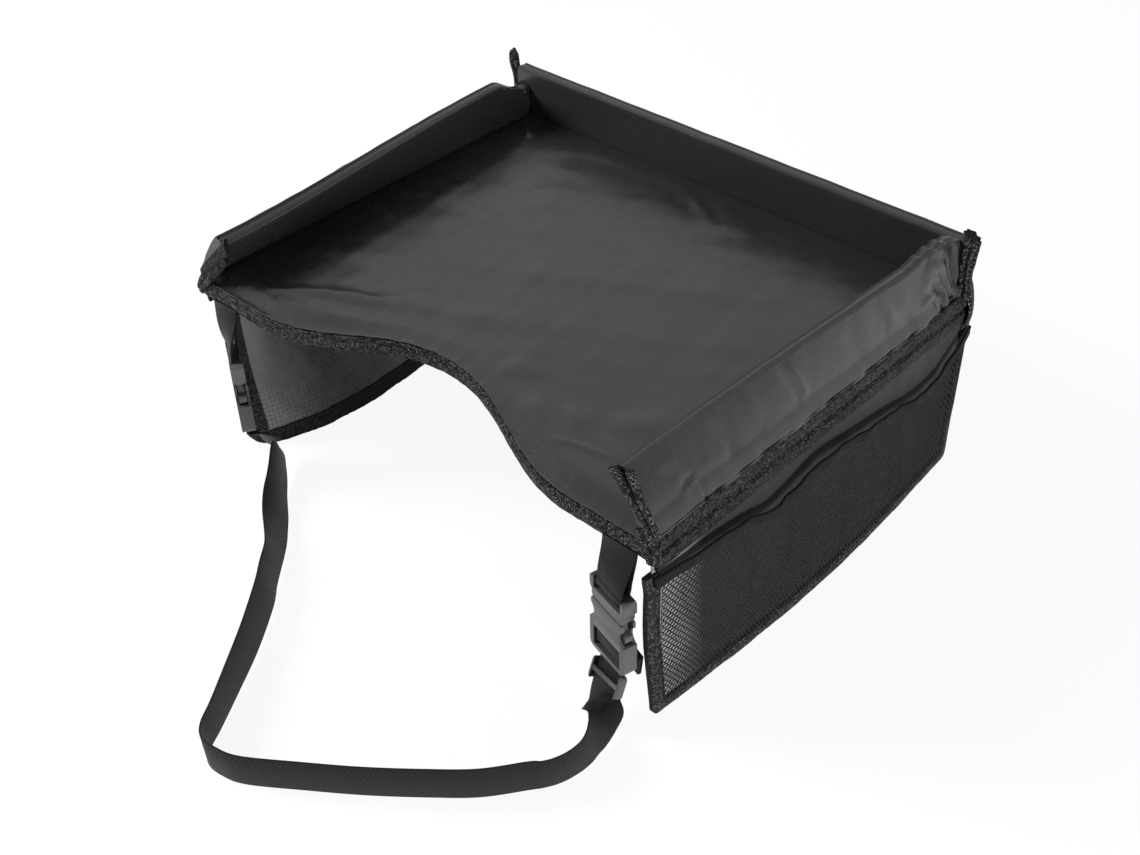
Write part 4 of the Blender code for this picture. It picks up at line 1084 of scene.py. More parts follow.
    def tacks(self):
        """The tape ends that are sewn down at the tray's four lower corners."""
        base = tape_section(1.0, 1.0, ((0.5, 0.35),), 0.5)
        share = np.linspace(0, 1, TACK_STATIONS)
        for side, name in SIDES:
            front = [(side * out, WALL_FRONT - 0.0006, up) for out, up in TACK_ROUTES[side]]
            back = [(side * (HALF_WIDTH + x), HALF_DEPTH + y, z) for x, y, z in BACK_END_ROUTE]
            for label, route, way, wider, thick, nodes in (
                ("front_tack_tape", front, (side * 0.25, -1.0, 0.0), 0.0010 * hump(share), 0.0024,
                 (f"{name}_front_corner_tack",)),
                ("back_tape_end", back, (side * 1.0, 0.55, 0.0), 0.0020 * hump(share * 1.2), 0.0030, ()),
            ):
                line = curve_through(route, TACK_STATIONS)
                tape = bind(f"{name}_{label}", line, way, TACK_WIDTH + wider, thick, base)
                finish(tape, "tray", "grosgrain_tape", *nodes)


def panel_face(side, y, z):
    """The inner face of a side panel, as a distance from the middle of the tray."""
    along = (y - PANEL_FRONT) / (PANEL_BACK - PANEL_FRONT)
    down = np.clip(1 - z / PANEL_TOP, 0, None) ** 1.3
    if side > 0:
        return PANEL_HINGE + PANEL_BOW[1] * down * np.sin(np.pi * along)
    peak = np.sin(np.pi * np.clip(along, 0, 1) ** 0.55)
    return PANEL_HINGE - PANEL_BOW[-1] * down * (0.12 + 0.88 * peak)


def panel_place(side, y, z, out):
    """A point on a side panel, out from its inner face.

    The panel's front edge stands a little forward, and the right one curls inwards, because
    the tape that holds its upper corner is sewn to the front of the tray.
    """
    y, z = np.broadcast_arrays(np.asarray(y, float), np.asarray(z, float))
    face = panel_face(side, y, z)
    high = np.clip(z / PANEL_TOP, 0, 1)
    corner = smooth((z - 0.104) / 0.014)
    near = 1 - smooth((y - PANEL_FRONT) / 0.034)
    forward = 1 - smooth((y - PANEL_FRONT) / 0.050)
    if side > 0:
        face = face - near * (0.0008 * hump(high) + 0.0012 * corner)
        forward = forward * (0.0036 + 0.0064 * smooth(high / 0.7) + 0.0010 * corner)
        forward = forward - smooth((y - PANEL_BACK + 0.060) / 0.060) * (0.0030 + 0.0035 * high)
    else:
        face = face - near * (0.0038 + 0.0115 * high * high)
        forward = forward * 0.0006
    return np.stack([side * (face + out), y - forward, z], -1)


# The pocket's mouth: its height along Y, read at the hem's upper edge
HEM_LINES = {
    1: ((-0.1565, 0.1175), (-0.135, 0.1172), (-0.108, 0.1160), (-0.083, 0.1128), (-0.066, 0.1085),
        (-0.050, 0.1090), (-0.014, 0.1150), (0.020, 0.1112), (0.045, 0.1080), (0.085, 0.1000),
        (0.108, 0.0970), (0.124, 0.0990), (0.148, 0.1140), (0.160, 0.1160)),
    -1: ((-0.1565, 0.1150), (-0.120, 0.1110), (-0.080, 0.1020), (-0.040, 0.0990), (0.010, 0.0960),
         (0.060, 0.0990), (0.100, 0.1010), (0.135, 0.1090), (0.160, 0.1150)),
}
# The hem's section: shares of its width, and of its thickness out from the net
HEM_SECTION = (
    (0.0, 0.0), (0.0, 1.0), (0.12, 1.25), (0.5, 1.1), (0.88, 1.25), (1.0, 0.9), (1.0, 0.0),
    (0.5, -0.0001 / HEM_THICKNESS),
)


def hem_line(side, y):
    """The height of the pocket's mouth at y."""
    line = curve_through(HEM_LINES[side], 200)
    return np.interp(y, line[:, 0], line[:, 1])


def net_lift(side, y, z, top):
    """How far the net stands off the panel, with its upright pleats and slack waves."""
    along = np.clip((y - PANEL_FRONT) / (PANEL_BACK - PANEL_FRONT), 0, 1)
    up = np.clip((z - TAPE_WIDTH) / (top - TAPE_WIDTH), 0, 1)
    slack = np.sin(np.pi * along) ** 0.6 * np.sin(np.pi * up * 0.62)
    pleats = 0.0014 * ripple(y + 0.22 * z, 0.052, 2.0 + side) * smooth(up / 0.4)
    sharp = 0.0012 * np.abs(ripple(y - 0.3 * z, 0.071, 5.0)) * up
    held = np.sin(np.pi * along) ** 0.35
    return 0.0016 + NET_BELLY * slack + (pleats + sharp) * held


def hex_cells(width, height, cell):
    """Six-sided cells over a rectangle: the corners of each, as places from 0 to the size."""
    columns = int(width / (cell * math.sqrt(3) / 2))
    wide = width / columns
    side = wide / math.sqrt(3)
    cells = []
    for row in range(-1, int(height / (1.5 * side)) + 1):
        shift = wide / 2 if row % 2 else 0
        for column in range(-1, columns + 1):
            x, y = (column + 0.5) * wide + shift, (row + 0.5) * 1.5 * side
            turns = [k * math.pi / 3 for k in range(6)]
            corners = [(x + side * math.sin(turn), y + side * math.cos(turn)) for turn in turns]
            if any(0 <= a <= width and 0 <= b <= height for a, b in corners):
                cells.append(corners)
    return np.array(cells)


def net_mesh(name, side, cell):
    """The pocket's net: flat strands round six-sided cells, laid on the pocket's slack shape."""
    front, back = PANEL_FRONT + TAPE_WIDTH * 0.8, PANEL_BACK - TAPE_WIDTH * 0.8
    low = TAPE_WIDTH * 0.7
    flat = hex_cells(back - front, NET_HEIGHT, cell)
    middle = flat.mean(1, keepdims=True)
    rings = np.concatenate([flat, middle + (flat - middle) * (1 - NET_STRAND / cell)], 1)
    y = front + np.clip(rings[..., 0], 0, back - front)
    top = hem_line(side, y) - HEM_WIDTH * 0.5
    z = low + np.clip(rings[..., 1], 0, NET_HEIGHT) / NET_HEIGHT * (top - low)
    lift = PANEL_CLOTH + net_lift(side, y, z, top)
    sides = [panel_place(side, y, z, out) for out in (lift + NET_THICKNESS, lift)]
    verts = np.concatenate(sides, 1).reshape(-1, 3)
    k = np.arange(6)
    n = (k + 1) % 6
    face = np.concatenate([
        np.stack([k, n, n + 6, k + 6], -1),
        np.stack([k + 12, k + 18, n + 18, n + 12], -1),
        np.stack([k + 6, n + 6, n + 18, k + 18], -1),
    ])
    faces = (np.arange(len(rings))[:, None, None] * 24 + face[None]).reshape(-1, 4)
    made = build(name, verts, faces.tolist(), None, "polyester_net")
    bm = bmesh.new()
    bm.from_mesh(made.data)
    bmesh.ops.remove_doubles(bm, verts=bm.verts, dist=0.02 * MM)
    bmesh.ops.dissolve_degenerate(bm, edges=bm.edges, dist=0.01 * MM)
    bm.to_mesh(made.data)
    bm.free()
    made.data.shade_smooth()
    made.data.set_sharp_from_angle(angle=SMOOTH_ANGLE)
    return made


class PanelsOperator(bpy.types.Operator):
    """Add the two hanging side panels with their tapes, net pockets and hems."""

    bl_idname = "tray_table.panels"
    bl_label = "Side panels"

    def execute(self, context):
        for side, name in SIDES:
            self.cloth(side, name)
            self.border(side, name)
            self.pocket(side, name, context.scene.tray_sizes.cell)
        return {"FINISHED"}

    def cloth(self, side, name):
        """The panel's nylon, which runs up behind the rim tape and bends there."""
        inset = TAPE_WIDTH * 0.6
        top = RIM_BOTTOM + 0.0035
        columns, rows = PANEL_GRID
        along = np.linspace(PANEL_FRONT + inset, PANEL_BACK - inset, columns)
        y, z = np.meshgrid(along, np.linspace(inset, top, rows))
        mouth = hump((z - MOUTH_FOOT) / 0.036) * hump((y - PANEL_FRONT) / (PANEL_BACK - PANEL_FRONT))
        held = smooth((z - TAPE_WIDTH - 0.001) / 0.012) * hump((z - inset) / (top - inset)) ** 0.5
        held = held * smooth((y - PANEL_FRONT - 0.011) / 0.012) * smooth((PANEL_BACK - 0.011 - y) / 0.012)
        relief = 0.0022 * mouth + 0.0007 * held * ripple(y + 0.4 * z, 0.06, 3.0 * side)
        hinge_out = np.minimum(relief, 0.0022 * hump((z - 0.080) / 0.041) + 0.0004)
        outer = panel_place(side, y, z, PANEL_CLOTH + np.where(z > MOUTH_FOOT, hinge_out, relief))
        # The left panel's nylon is painted far paler, with painted light through its net; the right panel's
        # has a painted sheen near its front.
        look = "painted_lit_panel_nylon" if side < 0 else "panel_nylon"
        cloth = quilt(f"{name}_panel_cloth", outer, outer - np.array([side * PANEL_CLOTH, 0, 0]), look)
        body = ("tray", f"{name}_panel", RIM_BOTTOM + 0.002, PANEL_TOP - 0.004)
        finish(cloth, body, "nylon_cover", f"{name}_side_panel")

    def border(self, side, name):
        """The tape round the panel's three free edges, a little wavy along the floor."""
        width = TAPE_WIDTH
        top = PANEL_TOP - 0.0012
        uprights = np.linspace(top, width, 26)

        def corner(middle, way, angles):
            """The tape's outer and inner edge round one of the panel's lower corners."""
            return [
                ((middle + way * width * math.cos(angle) ** 0.45, width - width * math.sin(angle) ** 0.45),
                 (middle + way * 0.0006 * math.cos(angle), width - 0.0006 * math.sin(angle)))
                for angle in angles
            ]

        pairs = [((PANEL_FRONT, z), (PANEL_FRONT + width, z)) for z in uprights[:-1]]
        pairs += corner(PANEL_FRONT + width, -1, np.linspace(0, np.pi / 2, 15))
        pairs += [
            ((y, 0.0), (y, width)) for y in np.linspace(PANEL_FRONT + width, PANEL_BACK - width, 120)[1:-1]
        ]
        pairs += corner(PANEL_BACK - width, 1, np.linspace(np.pi / 2, 0, 15))
        pairs += [((PANEL_BACK, z), (PANEL_BACK - width, z)) for z in np.linspace(width, top, 26)[1:]]
        pairs = np.array(pairs)
        run = lengths_along(pairs.mean(1))
        section = np.array(tape_section(1.0, PANEL_TAPE_THICKNESS * 0.9, ((0.22, 0.0009),), 0.3))
        section[[0, -1], 1] -= PANEL_TAPE_BACK
        section = np.vstack([section, [(0.5 - k / 8, -PANEL_TAPE_BACK) for k in range(1, 8)]])
        shares = 0.5 - section[:, 0]
        wave = 0.0005 * ripple(run, 0.045, 2.0 * side) + 0.0005 * np.abs(ripple(run, 0.018, 1.0))
        lift = np.clip(wave, 0, None)
        bump = np.stack([np.zeros_like(lift), lift], -1)
        outer, inner = pairs[:, 0] + bump, pairs[:, 1] + bump
        spots = outer[:, None] + (inner - outer)[:, None] * (1 - shares)[None, :, None]
        sway = (0.0002 * ripple(run, 0.06, 4.0))[:, None]
        rings = panel_place(side, spots[..., 0], spots[..., 1], section[None, :, 1] + sway)
        # The panel's tape has dimmer painted glints, as painted shade.
        tape = loft(f"{name}_panel_tape", rings, "border_tape_painted_shade")
        finish(tape, f"{name}_panel", "grosgrain_tape", f"{name}_panel_binding")
        seam = pairs[:, 0] + (pairs[:, 1] - pairs[:, 0]) * PANEL_STITCH_SHARE
        out = PANEL_TAPE_THICKNESS * 0.72 + sway[:, 0]
        points = panel_place(side, seam[:, 0], seam[:, 1] + lift, out)
        stitches(f"{name}_panel_stitches", [(points, (float(side), 0.0, 0.0))], f"{name}_panel")

    def pocket(self, side, name, cell):
        """The net of the pocket and the elastic tape that hems its mouth."""
        net = net_mesh(f"{name}_net", side, cell)
        finish(net, f"{name}_panel", "polyester_net", f"{name}_pocket_net")
        y = np.linspace(PANEL_FRONT + 0.004, PANEL_BACK - 0.004, LONG_TAPE_STATIONS)
        high = hem_line(side, y)
        lift = PANEL_CLOTH + net_lift(side, y, high, high) + 0.0002
        low = high - HEM_WIDTH
        rings = [
            panel_place(side, y, low + (high - low) * share, lift + out * HEM_THICKNESS)
            for share, out in HEM_SECTION
        ]
        hem = loft(f"{name}_pocket_hem_tape", np.stack(rings, 1), "elastic_tape")
        finish(hem, f"{name}_panel", "grosgrain_tape", f"{name}_pocket_hem")


def buckle_place(side):
    """Where a buckle hangs, in the tray's frame."""
    inward, forward = BUCKLE_SHIFT[side]
    return side * (TAB_SPREAD - inward), TAB_Y - forward


def buckle_frame(side):
    """The frame of a buckle: its origin at the top middle of the plug, and its turn."""
    place = (*buckle_place(side), BUCKLE_TOP)
    return Matrix.Translation(place) @ Matrix.Rotation(BUCKLE_TURN[side], 4, "Z")


def moulding(name, outline, thickness, place):
    """A flat moulded body: an outline in X and Z, extruded both ways along Y, at its place."""
    verts = [(x, y, z) for y in (-thickness / 2, thickness / 2) for x, z in outline]
    count = len(outline)
    faces = [tuple(range(count)), tuple(range(2 * count - 1, count - 1, -1))]
    for i in range(count):
        j = (i + 1) % count
        faces.append((i, j, j + count, i + count))
    made = build(name, verts, faces, None, "acetal_plastic")
    made.data.transform(Matrix.Translation(-ORIGIN))
    made.data.transform(Matrix.Translation(ORIGIN) @ place)
    return made


def brick(name, low, high, place):
    """A rectangular body between two corners of a buckle's frame."""
    outline = ((low[0], low[2]), (high[0], low[2]), (high[0], high[2]), (low[0], high[2]))
    middle = Matrix.Translation((0, (low[1] + high[1]) / 2, 0))
    return moulding(name, outline, high[1] - low[1], place @ middle)


def shape(made, steps, edge):
    """Cut and join tools one by one, round the edges, and keep the resulting mesh."""
    for operation, tool in steps:
        boolean = made.modifiers.new(tool.name, "BOOLEAN")
        boolean.operation = operation
        boolean.solver = "EXACT"
        boolean.object = tool
    bevel = made.modifiers.new("edge", "BEVEL")
    bevel.width = edge
    bevel.segments = 3
    bevel.limit_method = "ANGLE"
    bevel.angle_limit = BEVEL_ANGLE
    graph = bpy.context.evaluated_depsgraph_get()
    mesh = bpy.data.meshes.new_from_object(made.evaluated_get(graph))
    made.modifiers.clear()
    made.data = mesh
    for operation, tool in steps:
        bpy.data.objects.remove(tool)
    mesh.shade_smooth()
    mesh.set_sharp_from_angle(angle=MOULDING_ANGLE)
    return made


def arc(centre, radius, start, end, steps):
    """Points on an arc, with its angles in degrees."""
    return [
        (centre[0] + radius * math.cos(math.radians(a)), centre[1] + radius * math.sin(math.radians(a)))
        for a in np.linspace(start, end, steps)
    ]


class BucklesOperator(bpy.types.Operator):
    """Add the two side release buckles: plugs, springy prongs and sockets."""

    bl_idname = "tray_table.buckles"
    bl_label = "Buckles"

    def execute(self, context):
        for side, name in SIDES:
            place = buckle_frame(side)
            self.plug(name, place)
            for hand, letter in ((-1, "a"), (1, "b")):
                self.prong(name, letter, hand, place)
            self.socket(name, place)
        return {"FINISHED"}

    def plug(self, name, place):
        """The plug: ears beside the webbing's bar, a waist, and a guiding tongue."""
        half, ear = BUCKLE_WIDTH / 2, PLUG_EAR
        low, foot = -PLUG_BAR - PLUG_SLOT, -PLUG_HEIGHT - 0.0005
        outline = (
            arc((-half + ear, -ear), ear, 180, 90, 5) + arc((half - ear, -ear), ear, 90, 0, 5)
            + [(half, low + 0.001)] + arc((half + 0.0012, low - 0.0035), 0.0034, 120, 200, 5)
            + [(half - SIDE_WALL, foot), (-half + SIDE_WALL, foot)]
            + arc((-half - 0.0012, low - 0.0035), 0.0034, -20, 60, 5) + [(-half, low + 0.001)]
        )
        body = moulding(f"{name}_plug_moulding", outline, PLUG_THICKNESS, place)
        wide, deep, tongue = WEBBING_SLOT, PLUG_THICKNESS, PRONG_THICKNESS / 2
        shape(body, [
            ("DIFFERENCE", brick("slot", (-wide, -deep, low), (wide, deep, -PLUG_BAR), place)),
            ("DIFFERENCE", brick(
                "relief", (-wide, -deep, -PLUG_BAR - 0.0002), (wide, -0.0022, 0.01), place,
            )),
            ("UNION", brick(
                "tongue", (-0.0025, -tongue, -PLUG_HEIGHT - 0.017),
                (0.0025, tongue, -PLUG_HEIGHT + 0.0032), place,
            )),
        ], 0.0006)
        finish(body, f"{name}_tab", "acetal_plastic", f"{name}_buckle_plug")

    def prong(self, name, letter, hand, place):
        """A springy prong, whose rounded barb is the button that is squeezed."""
        top = -PLUG_HEIGHT - GAP
        tip = top - PRONG_LENGTH
        inner, outer = PRONG_OFFSET - PRONG_WIDTH / 2, PRONG_OFFSET + PRONG_WIDTH / 2
        barb = outer + BARB_STANDOUT
        shoulder = tip + BARB_LENGTH
        outline = [
            (inner, top), (outer, top), (outer + 0.0002, shoulder + 0.0006),
            (outer + 0.0025, shoulder + 0.0002), (barb - 0.0004, shoulder - 0.0007),
            (barb, shoulder - 0.0025), (barb - 0.0003, tip + BARB_LENGTH / 2),
            (outer + 0.0030, tip + 0.0025), (outer, tip + 0.0003), (inner + 0.0006, tip),
            (inner, tip + 0.0006),
        ]
        outline = [(hand * x, z) for x, z in outline]
        body = moulding(f"{name}_prong_{letter}_moulding", outline, PRONG_THICKNESS, place)
        shape(body, [], 0.0005)
        finish(body, f"{name}_prong_{letter}", "acetal_plastic", f"{name}_prong_{letter}")

    def socket(self, name, place):
        """The socket: a case with side windows for the barbs, over a two-slot ladder."""
        half, corner, round_top = BUCKLE_WIDTH / 2, SOCKET_CORNER, 0.0015
        top, bottom = -SOCKET_TOP, -SOCKET_BOTTOM
        waist = half - SIDE_WALL / 2
        window = top - SOCKET_WINDOW
        right = (
            arc((waist - round_top, top - round_top), round_top, 90, 0, 4)
            + [(waist, top - 0.004), (waist - 0.0012, window + 0.004), (half - 0.0004, window + 0.0006),
               (half, window - 0.001), (half, bottom + corner)]
            + arc((half - corner, bottom + corner), corner, 0, -90, 7)
        )
        left = [(-x, z) for x, z in reversed(right)]
        body = moulding(f"{name}_socket_moulding", right + left, BUCKLE_THICKNESS, place)
        inside, past = half - SIDE_WALL, BUCKLE_THICKNESS
        shelf = window - SOCKET_SHELF
        cavity = (
            (-half - past, top + past), (half + past, top + past), (half + past, window),
            (inside, window), (inside, shelf), (-inside, shelf), (-inside, window), (-half - past, window),
        )
        slot, wide = WEBBING_SLOT, WEBBING_SLOT + SIDE_WALL / 2
        high = bottom + 2 * LADDER_BAR + 2 * LADDER_SLOT
        low = bottom + LADDER_BAR
        steps = [
            ("DIFFERENCE", moulding("mouth", cavity, SOCKET_MOUTH, place)),
            ("DIFFERENCE", brick("ladder", (-slot, -past, low), (slot, past, high), place)),
        ]
        for hand in (-1, 1):
            bowl = arc((hand * (half + 0.0025), window + 0.0062), 0.0072, 0, 342, 20)
            steps.append(("DIFFERENCE", moulding(f"bowl_{hand}", bowl, 3 * past, place)))
        steps += [
            ("UNION", brick(
                "ladder_bar", (-wide, -0.0015, low + LADDER_SLOT),
                (wide, 0.0015, low + LADDER_SLOT + LADDER_BAR), place,
            )),
            ("DIFFERENCE", brick(
                "lip", (-slot, -past, high - 0.0001),
                (slot, -BUCKLE_THICKNESS / 2 + 0.0008, high + 0.0012), place,
            )),
        ]
        shape(body, steps, 0.0007)
        finish(body, "belt", "acetal_plastic", f"{name}_buckle_socket")


# The belt's way over the floor, as shares of the tabs' spread and of the belt's reach
BELT_ROUTE = (
    (-0.240, 0.480), (-0.110, 0.630), (0.000, 0.775), (0.085, 0.890), (0.135, 0.962),
    (0.185, 0.994), (0.255, 0.992), (0.340, 0.965), (0.500, 0.865), (0.660, 0.760),
    (0.810, 0.650), (0.940, 0.545), (1.040, 0.430),
)
# Its twists beside the two sockets: places in millimetres, and the way across the webbing there
BELT_LEFT_TWIST = (
    ((-157.9, -165.4, 27.7), (0.50, -0.42, 0.75)), ((-149.1, -160.8, 21.0), (0.14, -0.31, 0.94)),
    ((-140.2, -167.6, 16.3), (-0.04, -0.36, 0.93)), ((-131.3, -175.3, 13.4), (-0.14, -0.38, 0.91)),
    ((-122.5, -183.5, 12.1), (-0.22, -0.39, 0.90)), ((-113.6, -191.7, 11.4), (-0.32, -0.43, 0.84)),
    ((-104.3, -199.5, 11.1), (-0.37, -0.46, 0.81)), ((-94.9, -207.2, 11.3), (-0.37, -0.43, 0.82)),
    ((-85.3, -214.7, 11.8), (-0.35, -0.37, 0.86)), ((-76.1, -222.5, 12.3), (-0.29, -0.28, 0.92)),
    ((-67.3, -230.8, 12.8), (-0.23, -0.20, 0.95)), ((-56.0, -243.5, 13.0), (-0.23, -0.22, 0.96)),
)
BELT_RIGHT_TWIST = (
    ((189.8, -242.6, 13.1), (0.03, -0.03, 1.00)), ((193.4, -236.7, 13.1), (0.03, -0.03, 1.00)),
    ((195.9, -230.3, 13.1), (0.02, -0.02, 1.00)), ((197.3, -223.5, 13.1), (0.00, -0.01, 1.00)),
    ((197.7, -216.7, 13.1), (-0.05, 0.00, 1.00)), ((196.6, -209.9, 13.1), (-0.14, -0.04, 0.99)),
    ((194.2, -203.6, 12.9), (-0.25, -0.06, 0.97)), ((192.0, -197.8, 12.8), (-0.45, 0.02, 0.88)),
    ((189.2, -191.9, 13.2), (-0.66, 0.16, 0.70)), ((186.0, -186.8, 14.8), (-0.84, 0.28, 0.40)),
    ((182.4, -182.0, 18.2), (-0.93, 0.31, 0.05)),
)


def belt_ends():
    """Where the belt leaves the two sockets' ladder bars, below the buckles."""
    drop = BUCKLE_TOP - SOCKET_BOTTOM - 0.00075 - GAP
    return (*buckle_place(-1), drop), (*buckle_place(1), drop)


def glide_axes():
    """The way the belt runs through the adjuster, across it, and out of its face."""
    heading = Vector(GLIDE_HEADING).normalized()
    out = heading.cross(Vector(GLIDE_ACROSS)).normalized()
    return heading, out.cross(heading).normalized(), out


class WebbingOperator(bpy.types.Operator):
    """Add the webbing: both tabs, the loops in the buckles, the belt, its end and the adjuster."""

    bl_idname = "tray_table.webbing"
    bl_label = "Webbing"

    def execute(self, context):
        for side, name in SIDES:
            self.tab(side, name)
            self.ladder_loop(side, name)
        self.belt()
        self.tail()
        self.adjuster()
        return {"FINISHED"}

    def strap(self, name, points, ways, count, body, *nodes, thickness=WEBBING_THICKNESS):
        """Webbing through points with its ways across, as a smooth strap of even width."""
        both = curve_through(np.hstack([np.array(points), np.array(ways) * 0.02]), count)
        line, across = both[:, :3], unit(both[:, 3:])
        tangent = unit(np.gradient(line, axis=0))
        out = unit(np.cross(tangent, across))
        across = unit(np.cross(out, tangent))
        section = strap_section(WEBBING_WIDTH, thickness)
        made = sweep(name, line, across, out, section, "polypropylene_webbing")
        return finish(made, body, "webbing", *nodes)

    def loop(self, name, place, path, count, *nodes, **settings):
        """A short run of the belt through a buckle: a path of (out, up) in the buckle's frame."""
        way = list(place.to_3x3() @ Vector((1, 0, 0)))
        points = [list(place @ Vector((0, out, up))) for out, up in path]
        self.strap(name, points, [way] * len(path), count, "belt", *nodes, **settings)

    def tab(self, side, name):
        """The tab: down from the front tape, round the plug's bar and up again behind."""
        place = buckle_frame(side)
        x, y = buckle_place(side)
        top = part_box(f"{name}_tab_webbing")[1].z
        deep = TAB_LOOP_DEPTH

        def hang(share, out):
            """A place on the tab with a way out from its middle, and the way across it."""
            eased = smooth(share)
            angle = BUCKLE_TURN[side] * eased
            cos, sin = math.cos(angle), math.sin(angle)
            spot = np.array([
                side * TAB_SPREAD + (x - side * TAB_SPREAD) * eased, TAB_Y + (y - TAB_Y) * eased,
                top + 0.003 + (BUCKLE_TOP + 0.001 - top - 0.003) * share,
            ])
            return spot + np.array([sin, -cos, 0]) * out, np.array([cos, sin, 0])

        down = [hang(share, deep * 0.75 * smooth(share)) for share in np.linspace(0, 1, 14)]
        low = -PLUG_BAR - 0.0012
        turned = (
            (-deep, -0.0012), (-deep, -0.0030), (-deep * 0.8, low), (-deep * 0.3, low - 0.0014),
            (deep * 0.4, low - 0.0014), (deep * 1.05, low), (deep * 1.15, -0.002), (deep * 1.0, 0.002),
        )
        bend = [(np.array(list(place @ Vector((0, a, b)))), down[-1][1]) for a, b in turned]
        behind = [
            hang(share, -(0.0010 + deep * 0.8 * smooth(share))) for share in np.linspace(0.85, 0, 8)
        ]
        points, ways = zip(*down, *bend, *behind)
        made = self.strap(
            f"{name}_tab_strap", points, ways, TAB_STATIONS, f"{name}_tab", f"{name}_tab_webbing",
        )

    def ladder_loop(self, side, name):
        """The belt's turn round the ladder's middle bar, seen in the socket's slots."""
        low = -SOCKET_BOTTOM
        bar = low + LADDER_BAR + LADDER_SLOT + LADDER_BAR / 2
        path = (
            (0.0006, low - 0.0010), (0.0008, low + 0.0018), (-0.0012, low + 0.0042),
            (-0.0026, low + 0.0066), (-0.0029, bar), (-0.0029, bar + 0.0040), (-0.0020, bar + 0.0062),
            (0.0006, bar + 0.0070), (0.0029, bar + 0.0050), (0.0033, bar), (0.0034, low + 0.004),
            (0.0040, low + 0.001),
        )
        self.loop(f"{name}_ladder_loop", buckle_frame(side), path, 60, thickness=LOOP_THICKNESS)

    def belt(self):
        """The long webbing that lies on its edge on the floor between the two sockets."""
        left, right = belt_ends()
        lean = math.sin(BELT_LEAN)
        low = WEBBING_WIDTH / 2 + BELT_FLOOR_GAP
        left_way = (math.cos(BUCKLE_TURN[-1]), math.sin(BUCKLE_TURN[-1]), 0)
        heading, across, out = glide_axes()
        route = [(left, left_way), (tuple(Vector(left) + Vector((0.0003, -0.0005, -0.0050))), left_way)]
        route += [(tuple(value * MM for value in place), way) for place, way in BELT_LEFT_TWIST]
        for x_share, y_share in BELT_ROUTE:
            x, y = x_share * TAB_SPREAD, TAB_Y - y_share * BELT_REACH
            outward = lean * (1 - smooth((x + TAB_SPREAD / 4) / (TAB_SPREAD / 2)))
            route.append(((x, y, low), (-outward, -outward, 1)))
        route += [(tuple(value * MM for value in place), way) for place, way in BELT_RIGHT_TWIST]
        for run in (GLIDE_START + GLIDE_LENGTH, GLIDE_START):
            route.append((tuple(Vector(right) + heading * run), tuple(-across)))
        route.append((right, (-math.cos(BUCKLE_TURN[1]), -math.sin(BUCKLE_TURN[1]), 0)))
        places, ways = zip(*route)
        ways = [tuple(Vector(way).normalized()) for way in ways]
        made = self.strap("belt_strap", places, ways, BELT_STATIONS, "belt", "belt_webbing")
        run = sum((Vector(b) - Vector(a)).length for a, b in zip(places, places[1:]))

    def tail(self):
        """The belt's end, folded on itself and sewn, beside the right socket."""
        behind = (BUCKLE_THICKNESS + 0.0033) / 2 + GAP
        spot = Matrix.Translation((0.006, behind, 0.0065 - SOCKET_BOTTOM))
        place = buckle_frame(1) @ spot @ Matrix.Rotation(math.radians(8), 4, "Y")
        reach = 0.0075
        path = (
            (-0.0009, reach), (-0.0009, 0.002), (-0.0009, -reach * 0.8), (-0.0006, -reach),
            (0.0006, -reach), (0.0009, -reach * 0.8), (0.0009, 0.002), (0.0009, reach),
        )
        self.loop("belt_end_fold", place, path, 50, "belt_tail")

    def adjuster(self):
        """The moulded slide: a rounded frame with a middle bar over the belt."""
        heading, across, out = glide_axes()
        turn = Matrix((-across, out, -heading)).transposed().to_4x4()
        place = Matrix.Translation(Vector(belt_ends()[1]) + heading * GLIDE_START) @ turn
        half, tall, edge = GLIDE_WIDTH / 2, GLIDE_LENGTH, GLIDE_CORNER
        outline = []
        for x, z, start in (
            (edge - half, -edge, 180), (half - edge, -edge, 90),
            (half - edge, edge - tall, 0), (edge - half, edge - tall, -90),
        ):
            outline += arc((x, z), edge, start, start - 90, 6)
        inner = WEBBING_THICKNESS / 2 + GLIDE_CLEARANCE
        deep = inner + GLIDE_FACE
        slot, past = WEBBING_SLOT, deep + GLIDE_BAR
        body = moulding("slide_adjuster_moulding", outline, 2 * deep, place)
        shape(body, [
            ("DIFFERENCE", brick(
                "window", (-slot, -past, GLIDE_BAR - tall), (slot, past, -GLIDE_BAR), place,
            )),
            ("DIFFERENCE", brick(
                "way", (-slot - GAP, -inner, -tall - past), (slot + GAP, past, past), place,
            )),
            ("UNION", brick(
                "bar", (-slot - 0.001, inner, -tall / 2 - GLIDE_BAR / 2),
                (slot + 0.001, deep - GAP, -tall / 2 + GLIDE_BAR / 2), place,
            )),
        ], 0.0004)
        finish(body, "adjuster", "acetal_plastic", "slide_adjuster")


class BoardsOperator(bpy.types.Operator):
    """Give the foam boards inside the cloth their own finish."""

    bl_idname = "tray_table.boards"
    bl_label = "Foam boards"

    def execute(self, context):
        for name in ("tray_board", "left_wall_board", "right_wall_board", "back_wall_board"):
            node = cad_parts[name]
            node.data.materials.clear()
            node.data.materials.append(looks["foam_board"])
        return {"FINISHED"}


